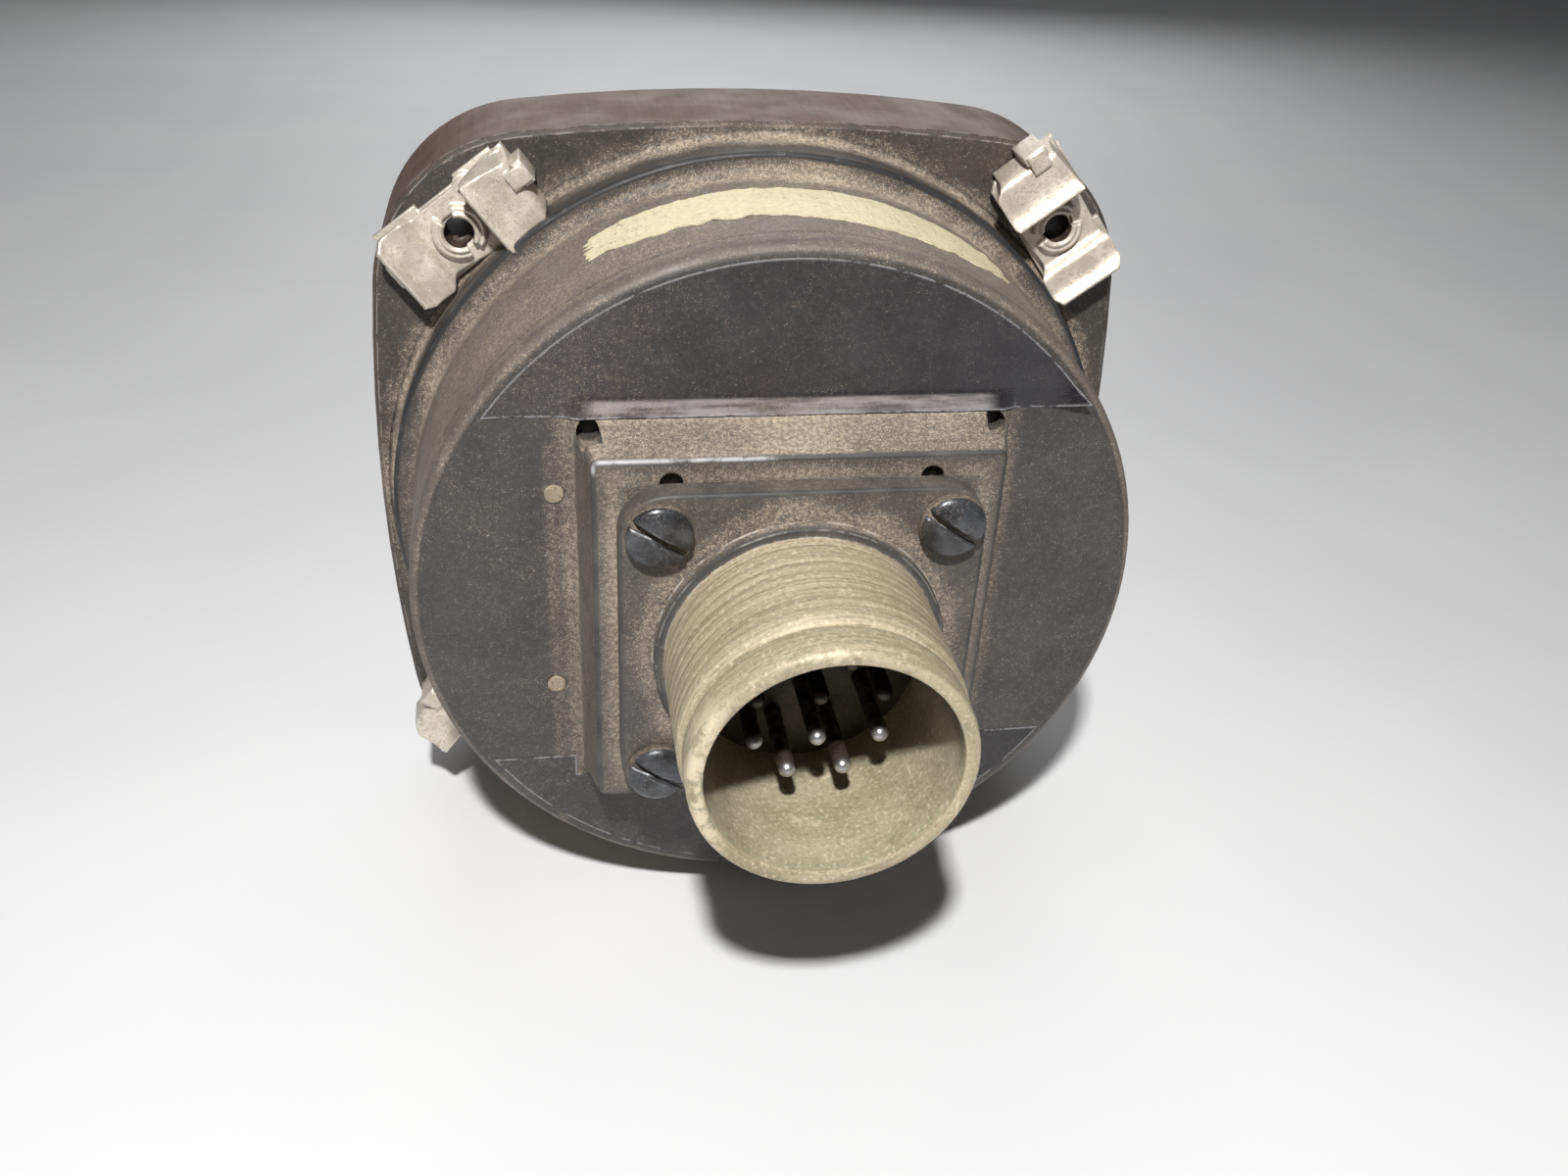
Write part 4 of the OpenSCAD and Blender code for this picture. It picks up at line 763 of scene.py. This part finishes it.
khaki = mix(tree, times(tree, remap(tree, speckle, 0.55, 0.66), 0.5), khaki, (0.76, 0.68, 0.52))
khaki = mix(tree, times(tree, remap(tree, speckle, 0.43, 0.33), 0.4), khaki, (0.17, 0.14, 0.085))
scars = use(tree, scratch_group, amount=1.0, lean=1.2)["Mask"]
worn_patch = times(tree, remap(tree, noise_at(tree, 190.0, 5.0, 0.75), 0.60, 0.68), 0.7)
bare = calc(tree, "MAXIMUM", scars, worn_patch, clamp=True)
rub = times(tree, remap(tree, where[0], 8.5 * mm, 11.0 * mm), near_rim,
            remap(tree, noise_at(tree, 500.0, 4.0, 0.7), 0.40, 0.56))
bare = calc(tree, "MAXIMUM", bare, rub, clamp=True)
khaki = mix(tree, bare, khaki, (0.72, 0.62, 0.45))
near_root = remap(tree, where[1], shell_root_y + 4.0 * mm, shell_root_y)
dirt = use(tree, dust_group, amount=plus(tree, 0.10, times(tree, near_root, 0.30)), grain=6000.0)
shell_edges = use(tree, edge_group, amount=0.35)
khaki = mix(tree, shell_edges["Mask"], khaki, (0.70, 0.64, 0.52))
surface(tree, shader, mix(tree, dirt["Mask"], khaki, dirt["Color"]), remap(tree, speckle, 0.3, 0.7, 0.42, 0.66),
        plus(tree, times(tree, speckle, 0.8), lathe), 0.00005, shell_edges["Normal"])
fill(tree, shader, {"Metallic": 0.12})

flange_enamel, tree, shader = new_material("flange_enamel")
flange_dark = mottled(tree, 300.0, 4.0, (0.034, 0.034, 0.036), (0.070, 0.066, 0.060))
amount = band_sum(tree, [
    (ring_band, 0.30, {"radius": collar_r + 0.7 * mm, "depth": flange_back_y, "width": 2.2 * mm}),
    (ring_band, -0.30, {"radius": collar_r - 0.2 * mm, "depth": shell_root_y, "width": 0.7 * mm}),
    (square_band, -0.25, {"half": flange_half, "depth": flange_back_y, "width": 0.6 * mm}),
], 0.17)
dusty_paint(tree, shader, flange_dark, amount, wear=0.6, worn=(0.44, 0.42, 0.38), gloss=0.5)

# Half section of the shell in millimetres, radius and depth, from its foot up the outside
# and down the bore: collar, nine worn thread grooves, relief, nose and rim
shell_section = [(14.0, 46.4), (14.0, 48.95), (13.82, 49.25), (13.5, 49.35), (13.1, 49.38), (13.02, 49.6)]
for turn in range(9):
    groove = 50.55 + 1.4 * turn
    shell_section += [(13.12, groove - 0.14), (13.09, groove - 0.07), (13.04, groove), (13.09, groove + 0.07),
                      (13.12, groove + 0.14), (13.13, groove + 0.7)]
shell_section = shell_section[:-1] + [(12.98, 62.15), (12.72, 62.45), (12.5, 62.62), (12.47, 62.85), (12.62, 63.05),
                                      (12.78, 63.35), (12.8, 64.4), (12.78, 66.25), (12.72, 66.6), (12.57, 66.85),
                                      (12.35, 66.98), (12.1, 67.0), (11.6, 67.0), (11.42, 66.93), (11.33, 66.75),
                                      (11.3, 66.4), (11.3, 58.0), (11.3, 46.4)]


def spin_ring(bm, section, steps):
    """A closed section of radius and depth, spun once round the Y axis."""
    outline = [bm.verts.new((r, y, 0)) for r, y in section]
    wires = [bm.edges.new(pair) for pair in zip(outline, outline[1:] + outline[:1])]
    bmesh.ops.spin(bm, geom=outline + wires, cent=(0, 0, 0), axis=(0, 1, 0), angle=math.radians(360), steps=steps,
                   use_merge=True)


bm = bmesh.new()
spin_ring(bm, [(r * mm, y * mm) for r, y in shell_section], 128)
bmesh.ops.remove_doubles(bm, verts=bm.verts[:], dist=merge_gap)
face_outwards(bm)
corners = bmesh.ops.create_grid(bm, x_segments=1, y_segments=1, size=flange_half)["verts"]
bmesh.ops.bevel(bm, geom=corners, offset=4.5 * mm, offset_type="OFFSET", segments=8, profile=0.5, affect="VERTICES",
                material=-1)
plate = [f for f in bm.faces[:] if abs(f.normal.z) > 0.9 and len(f.verts) > 8]
flat = {v for f in plate for v in f.verts}
bmesh.ops.transform(bm, matrix=facing_rear(flange_front_y), verts=list(flat))
rim_edges = plate[0].edges[:]
bmesh.ops.delete(bm, geom=plate, context="FACES_ONLY")
hole = bmesh.ops.create_circle(bm, cap_ends=False, segments=len(rim_edges), radius=12.6 * mm)["verts"]
half_step = Matrix.Rotation(math.radians(360 / len(rim_edges) / 2), 4, "Z")
bmesh.ops.transform(bm, matrix=facing_rear(flange_front_y) @ half_step, verts=hole)
hole_edges = edges_between(bm, hole)
face_ring = bmesh.ops.bridge_loops(bm, edges=rim_edges + hole_edges)["faces"]
raised = bmesh.ops.extrude_face_region(bm, geom=face_ring)["geom"]
bmesh.ops.translate(bm, vec=(0, flange_back_y - flange_front_y, 0), verts=verts_in(raised))
face_outwards(bm)
top_edge = [e for e in bm.edges if all(abs(v.co.y - flange_back_y) < 1e-6 and max(abs(v.co.x), abs(v.co.z)) > 13 * mm
                                       for v in e.verts) and e.calc_face_angle(0) > 1.0]
bmesh.ops.bevel(bm, geom=top_edge, offset=0.35 * mm, offset_type="OFFSET", segments=3, profile=0.5, affect="EDGES",
                material=-1)
for face in bm.faces:
    middle_point = face.calc_center_median()
    across = math.hypot(middle_point.x, middle_point.z)
    face.material_index = 1 if across > 13.2 * mm or middle_point.y < flange_back_y else 0
    face.smooth = True
shell = finish_piece(bm, "shell", khaki_plate, "root")
shell.data.materials.append(flange_enamel)
shell.data.set_sharp_from_angle(angle=math.radians(38))
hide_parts("connector_shell")

insert_plastic, tree, shader = new_material("insert_moulding")
insert_brown = mottled(tree, 500.0, 3.0, (0.014, 0.010, 0.007), (0.032, 0.023, 0.015))
dusty_paint(tree, shader, insert_brown, 0.1, wear=0.1, gloss=0.5)
dress("connector_insert", insert_plastic)

pin_tip_y = 59.5 * mm
pin_steel, tree, shader = new_material("pin_steel")
where = position(tree)
tip = remap(tree, where[1], pin_tip_y - 1.1 * mm, pin_tip_y - 0.3 * mm)
tarnish = mottled(tree, 900.0, 4.0, (0.10, 0.065, 0.05), (0.26, 0.21, 0.18))
pin_colour = mix(tree, tip, tarnish, (0.46, 0.46, 0.47))
in_shade = bore_shade(tree, where, -1.0 * mm, 0.4 * mm)
surface(tree, shader, mix(tree, in_shade, pin_colour, (0.055, 0.045, 0.04)),
        remap(tree, tip, 0.0, 1.0, 0.5, 0.38), noise_at(tree, 2600.0, 3.0), 0.00003)
fill(tree, shader, {"Metallic": 0.9})
dress("contact_pins", pin_steel)

screw_black, tree, shader = new_material("flange_screw_black")
where = position(tree)
head = mottled(tree, 520.0, 4.0, (0.018, 0.022, 0.029), (0.075, 0.085, 0.100))
slot_dust = remap(tree, where[1], flange_back_y + 1.15 * mm, flange_back_y + 0.95 * mm, 0.0, 0.35)
dusty_paint(tree, shader, head, plus(tree, 0.1, slot_dust), wear=0.7, worn=(0.50, 0.52, 0.56), gloss=0.26)
fill(tree, shader, {"Metallic": 0.5})
# The solids' slots fall the other way, so the screws are a merged copy, mirrored
bm = bmesh.new()
bm.from_mesh(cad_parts["connector_screws"].data)
bmesh.ops.remove_doubles(bm, verts=bm.verts[:], dist=merge_gap)
bmesh.ops.scale(bm, vec=(-1, 1, 1), verts=bm.verts[:])
face_outwards(bm)
for face in bm.faces:
    face.material_index = 0
    face.smooth = True
heads = finish_piece(bm, "flange_screws", screw_black, "root")
heads.data.set_sharp_from_angle(angle=math.radians(35))
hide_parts("connector_screws")

# Clip nuts
# Three spring nuts formed from zinc-plated strip: a low ear, a waisted floor with a split
# threaded collar, and a high ear. A flat base strip under each hooks round the bezel.
clip_gauge = 0.6 * mm
clip_turn = 8.0
mount_half = 31.435 * mm
clip_ear_half = 4.2 * mm
clip_waist_half = 3.7 * mm
clip_floor = 1.4 * mm
clip_hole_r = 2.1 * mm
clip_plate, tree, shader = new_material("clip_plating")
mottle = noise_at(tree, 300.0, 5.0, 0.7)
grain = noise_at(tree, 2400.0, 3.0)
zinc = mix(tree, remap(tree, mottle, 0.3, 0.7), (0.54, 0.485, 0.405), (0.86, 0.79, 0.69))
zinc = mix(tree, remap(tree, grain, 0.46, 0.70, 0.0, 0.7), zinc, (0.44, 0.37, 0.27))
clip_edges = use(tree, edge_group, amount=0.9)
clip_dust = use(tree, dust_group, amount=0.24, grain=5200.0)
zinc = mix(tree, clip_edges["Mask"], zinc, (0.88, 0.83, 0.74))
surface(tree, shader, mix(tree, times(tree, clip_dust["Mask"], 0.7), zinc, (0.30, 0.25, 0.18)),
        remap(tree, mottle, 0.3, 0.7, 0.34, 0.50), plus(tree, grain, clip_dust["Mask"]), 0.00003,
        clip_edges["Normal"])
fill(tree, shader, {"Metallic": 0.4})

thread_rust, tree, shader = new_material("thread_rust")
rusty = mottled(tree, 900.0, 4.0, (0.010, 0.007, 0.006), (0.09, 0.045, 0.03))
fill(tree, shader, {"Base Color": rusty, "Roughness": 0.7})

# Top of each leaf in millimetres, along the clip and above the bezel, with the radius of each
# bend: the floor rises to the low ear, and the high ear folds over from the far end. Both
# ears end in a lip that curls up.
floor_leaf = [(-7.2, 3.6), (-6.1, 2.5), (-4.0, 2.5), (-3.2, 1.4), (8.2, 1.4)]
floor_bends = (0.7, 0.5, 0.4)
high_leaf = [(3.65, 5.4), (5.0, 4.4), (8.6, 4.2), (8.8, 0.35)]
high_bends = (0.9, 0.9)


def soft_step(value, low, high):
    """0 below low, 1 above high, eased between."""
    t = min(max((value - low) / (high - low), 0.0), 1.0)
    return t * t * (3 - 2 * t)


def cut_clip(bm, point, normal, clear=False):
    """Cuts a clip's mesh at a point in millimetres, and drops what lies beyond it if asked."""
    cut_all(bm, Vector(point) * mm, normal, clear_outer=clear)


def clip_ribbon(leaf, bends):
    """One leaf as a thin ribbon with rounded bends, cut into rows and cut off at its corners."""
    bm = bmesh.new()
    line = [bm.verts.new((x * mm, bezel_back_y + h * mm, -clip_ear_half)) for x, h in leaf]
    wires = [bm.edges.new(pair) for pair in zip(line, line[1:])]
    drawn = bmesh.ops.extrude_edge_only(bm, edges=wires)["geom"]
    bmesh.ops.translate(bm, vec=(0, 0, 2 * clip_ear_half), verts=verts_in(drawn))
    for (x, h), radius in zip(leaf[1:-1], bends):
        bend = [e for e in bm.edges if all(abs(v.co.x - x * mm) < 1e-6 and abs(v.co.y - bezel_back_y - h * mm) < 1e-6
                                           for v in e.verts)]
        bmesh.ops.bevel(bm, geom=bend, offset=radius * mm, offset_type="OFFSET", segments=6, profile=0.5,
                        affect="EDGES", material=-1)
    for place in (-5.2, -2.4, 2.4, 5.9, 6.4, 7.0, 7.6):
        cut_clip(bm, (place, 0, 0), (1, 0, 0))
    for place in (-3.9, -3.4, -2.4, 2.4, 3.4, 3.9):
        cut_clip(bm, (0, 0, place), (0, 0, 1))
    for point, outward in (((8.2, 0, -3.4), (0.7, 0, -0.72)), ((-6.9, 0, -3.9), (-0.6, 0, -0.8)),
                           ((-6.7, 0, 3.9), (-0.7, 0, 0.7)), ((3.85, 0, -4.05), (-0.6, 0, -0.8))):
        if outward[0] > 0 or point[0] < 0 or leaf is high_leaf:
            cut_clip(bm, point, outward, clear=leaf[0][0] - 0.5 < point[0])
    return bm


def thick_sheet(bm):
    """A mesh of the ribbon with the strip's gauge, below its upper face."""
    thicken(bm, clip_gauge)
    sheet = bpy.data.meshes.new("sheet")
    bm.to_mesh(sheet)
    bm.free()
    return sheet


def clip_floor_leaf():
    """The leaf with the low ear: waisted, and pierced for the screw."""
    bm = clip_ribbon(floor_leaf, floor_bends)
    middle = [f for f in bm.faces if -2.4 * mm < f.calc_center_median().x < 2.4 * mm
              and abs(f.calc_center_median().z) < 2.4 * mm]
    bmesh.ops.delete(bm, geom=middle, context="FACES")
    hole_rim = [e for e in bm.edges if len(e.link_faces) == 1 and all(
        abs(v.co.z) < 2.45 * mm and abs(v.co.x) < 2.45 * mm for v in e.verts)]
    ring = bmesh.ops.create_circle(bm, cap_ends=False, segments=32, radius=clip_hole_r)["verts"]
    bmesh.ops.rotate(bm, cent=(0, 0, 0), matrix=Matrix.Rotation(math.radians(90), 3, "X"), verts=ring)
    bmesh.ops.translate(bm, vec=(0, bezel_back_y + clip_floor, 0), verts=ring)
    ring_edges = edges_between(bm, ring)
    bmesh.ops.triangle_fill(bm, use_beauty=True, edges=hole_rim + ring_edges, normal=(0, 1, 0))
    for v in bm.verts:
        x, side = v.co.x / mm, v.co.z
        waist = soft_step(x, -4.2, -3.0) * (1 - 0.6 * soft_step(x, 2.2, 3.2))
        narrow = clip_waist_half if side > 0 else clip_waist_half - 0.55 * mm * (1 - soft_step(x, -1.0, 2.4))
        v.co.z *= 1 - waist * (1 - narrow / clip_ear_half)
    return thick_sheet(bm)


def clip_high_leaf():
    """The leaf that folds over from the far end, its outer side creased down to the base strip."""
    bm = clip_ribbon(high_leaf, high_bends)
    crease, flank = Vector((3.9, 0, 3.9)) * mm, Vector((0.17, 0, 0.985)).normalized()
    cut_clip(bm, crease / mm, flank)
    for v in bm.verts:
        height = (v.co.y - bezel_back_y) / mm
        beyond = (v.co - crease).dot(flank) / mm
        if height > 1.5 and beyond > 0:
            v.co.y = bezel_back_y + max(height - beyond * 4.5, 0.8) * mm
    return thick_sheet(bm)


def clip_collar(bm):
    """The split threaded collar over its bush, spun from its section with two gaps left open."""
    inner, outer = 1.5 * mm, 2.8 * mm
    low, high = bezel_back_y + 0.9 * mm, bezel_back_y + 2.3 * mm
    bush_top, bush_foot, bush_outer = low + 0.2 * mm, low - 3.0 * mm, inner + 0.25 * mm
    spin_ring(bm, ((inner, bush_top), (inner, bush_foot), (bush_outer, bush_foot), (bush_outer, bush_top)), 32)
    for start, turn in ((100, 146), (292, 136)):
        section = [bm.verts.new((x, y, 0)) for x, y in (
            (inner, low), (outer, low), (outer, high - 0.6 * mm), (outer - 0.12 * mm, high - 0.3 * mm),
            (outer - 0.4 * mm, high - 0.12 * mm), (outer - 0.62 * mm, high - 0.3 * mm),
            (outer - 0.72 * mm, high - 0.1 * mm), (inner + 0.3 * mm, high), (inner, high - 0.25 * mm))]
        face = bm.faces.new(section)
        bmesh.ops.rotate(bm, cent=(0, 0, 0), matrix=Matrix.Rotation(math.radians(start), 3, "Y"), verts=section)
        bmesh.ops.spin(bm, geom=section + face.edges[:] + [face], cent=(0, 0, 0), axis=(0, 1, 0),
                       angle=math.radians(turn), steps=28, use_duplicate=False)
    for face in bm.faces:
        middle_point = face.calc_center_median()
        if math.hypot(middle_point.x, middle_point.z) < inner + 0.02 * mm:
            face.material_index = 1


def clip_box(bm, low, high):
    """A plain strip of the base between two corners in millimetres."""
    verts = bmesh.ops.create_cube(bm, size=1.0)["verts"]
    bmesh.ops.scale(bm, vec=[(b - a) * mm for a, b in zip(low, high)], verts=verts)
    bmesh.ops.translate(bm, vec=[(a + b) / 2 * mm for a, b in zip(low, high)], verts=verts)
    bmesh.ops.translate(bm, vec=(0, bezel_back_y, 0), verts=verts)


def clip_extras(bm):
    """The base strip with its end tabs, the hook over the high ear's end, and the tongue beside it."""
    for low, high in (((-7.3, 0.05, 2.3), (-2.0, 0.7, 4.45)), ((-2.4, 0.05, 2.4), (3.2, 0.65, 3.85)),
                      ((2.9, 0.05, 2.3), (7.5, 0.7, 4.5)), ((-7.0, 0.05, -3.7), (6.6, 0.6, -2.3)),
                      ((-8.6, 0.05, -1.3), (-7.2, 0.6, 1.3)), ((8.75, 0.1, 0.1), (9.75, 4.35, 2.6)),
                      ((7.6, 4.1, 0.4), (9.6, 4.65, 2.3))):
        clip_box(bm, low, high)
    tongue = bmesh.ops.create_circle(bm, cap_ends=True, segments=20, radius=1.15 * mm)["verts"]
    bmesh.ops.rotate(bm, cent=(0, 0, 0), matrix=Matrix.Rotation(math.radians(90), 3, "X"), verts=tongue)
    bmesh.ops.translate(bm, vec=(3.4 * mm, bezel_back_y + 0.6 * mm, 3.25 * mm), verts=tongue)
    face = [f for f in tongue[0].link_faces if len(f.verts) == 20]
    thick = bmesh.ops.extrude_face_region(bm, geom=face)["geom"]
    bmesh.ops.translate(bm, vec=(0, 0.85 * mm, 0), verts=verts_in(thick))


def applied(piece):
    """Replaces the piece's mesh by what its modifiers make, and removes them."""
    bpy.context.view_layer.update()
    shaped = bpy.data.meshes.new_from_object(piece.evaluated_get(bpy.context.evaluated_depsgraph_get()))
    piece.modifiers.clear()
    piece.data = shaped


places = {
    "clip_nut_upper_right": Matrix.Translation((mount_half - 0.7 * mm, 0, mount_half - 0.9 * mm))
    @ Matrix.Rotation(math.radians(-135 - clip_turn), 4, "Y") @ Matrix.Scale(-1, 4, (0, 0, 1)),
    "clip_nut_upper_left": Matrix.Translation((-mount_half - 0.3 * mm, 0, mount_half - 0.4 * mm))
    @ Matrix.Rotation(math.radians(-45 - clip_turn), 4, "Y"),
    "clip_nut_lower_right": Matrix.Translation((mount_half, 0, -mount_half))
    @ Matrix.Rotation(math.radians(-45 + clip_turn), 4, "Y"),
}
for node, place in places.items():
    bm = bmesh.new()
    for sheet in (clip_floor_leaf(), clip_high_leaf()):
        bm.from_mesh(sheet)
    clip_collar(bm)
    clip_extras(bm)
    bmesh.ops.transform(bm, matrix=place, verts=bm.verts[:])
    face_outwards(bm)
    piece = finish_piece(bm, node.replace("clip_nut", "clip"), clip_plate, "root")
    piece.data.materials.append(thread_rust)
    rounding = piece.modifiers.new("rounding", "BEVEL")
    rounding.width = 0.1 * mm
    rounding.segments = 2
    rounding.limit_method = "ANGLE"
    rounding.angle_limit = math.radians(50)
    applied(piece)
    for face in piece.data.polygons:
        face.use_smooth = True
    piece.data.set_sharp_from_angle(angle=math.radians(45))
    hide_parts(node)

# Table
# A plain pale surface under the lowest point of the bezel, wide enough to fill the view.
floor_z = cad_box[0].z - 0.02 * mm
bm = bmesh.new()
bmesh.ops.create_grid(bm, x_segments=1, y_segments=1, size=2.5)
bmesh.ops.translate(bm, vec=(0, 0, floor_z), verts=bm.verts[:])
floor_mesh = bpy.data.meshes.new("table_top")
bm.to_mesh(floor_mesh)
bm.free()
floor_paint, tree, shader = new_material("table_white")
cool_white = mottled(tree, 14.0, 3.0, (0.82, 0.83, 0.85), (0.86, 0.87, 0.88))
fill(tree, shader, {"Base Color": cool_white, "Roughness": 0.55})
floor_mesh.materials.append(floor_paint)
floor = bpy.data.objects.new("table_top", floor_mesh)
bpy.context.scene.collection.objects.link(floor)

# Light
# A small hard key above the camera throws the sharp shadows. Four broad weak lamps and
# a dim, cool surround lift them a little.


def softbox(name, place, aim, size, power, colour=(1, 1, 1)):
    """A square area light at place that points at aim."""
    light = bpy.data.lights.new(name, "AREA")
    light.shape = "SQUARE"
    light.size = size
    light.energy = power
    light.color = colour
    lamp = bpy.data.objects.new(name, light)
    lamp.location = place
    lamp.rotation_euler = (Vector(aim) - Vector(place)).to_track_quat("-Z", "Y").to_euler()
    bpy.context.scene.collection.objects.link(lamp)


middle = (0, 30 * mm, 0)
softbox("key", (0.045, 0.215, 0.245), middle, 0.016, 1.30, (1.0, 0.985, 0.965))
softbox("left_fill", (0.42, 0.15, 0.22), middle, 0.36, 0.07)
softbox("right_fill", (-0.42, 0.10, 0.25), middle, 0.36, 0.06)
softbox("front_fill", (-0.05, -0.45, 0.24), middle, 0.4, 0.8)
softbox("back_wash", (0.0, -0.35, 0.75), (0, -0.35, 0), 0.5, 0.40)
world = bpy.data.worlds.new("surround")
world.use_nodes = True
world.node_tree.nodes["Background"].inputs["Color"].default_value = (0.80, 0.83, 0.88, 1.0)
world.node_tree.nodes["Background"].inputs["Strength"].default_value = 0.022
bpy.context.scene.world = world
bpy.context.scene.view_settings.view_transform = "Standard"

# Camera
# The photograph's view, from behind, above and a little to the right, turned by its roll.
lens_px = 1400.0
frame_px = 1600.0
sensor = 36.0
azimuth, elevation, roll = math.radians(168.89), math.radians(32.11), math.radians(3.49)
target = Vector((-5.89, 8.96, -18.02)) * mm
reach = 174.85 * mm
level = math.cos(elevation)
back = Vector((math.sin(azimuth) * level, -math.cos(azimuth) * level, math.sin(elevation)))
right = (-back).cross(Vector((0, 0, 1))).normalized()
up = right.cross(-back)
right, up = right * math.cos(roll) + up * math.sin(roll), up * math.cos(roll) - right * math.sin(roll)
camera_data = bpy.data.cameras.new("camera")
camera_data.sensor_width = sensor
camera_data.lens = sensor * lens_px / frame_px
camera_data.clip_start = 0.01
camera = bpy.data.objects.new("camera", camera_data)
camera.matrix_world = Matrix.Translation(target + back * reach) @ Matrix((right, up, back)).transposed().to_4x4()
bpy.context.scene.collection.objects.link(camera)
bpy.context.scene.camera = camera
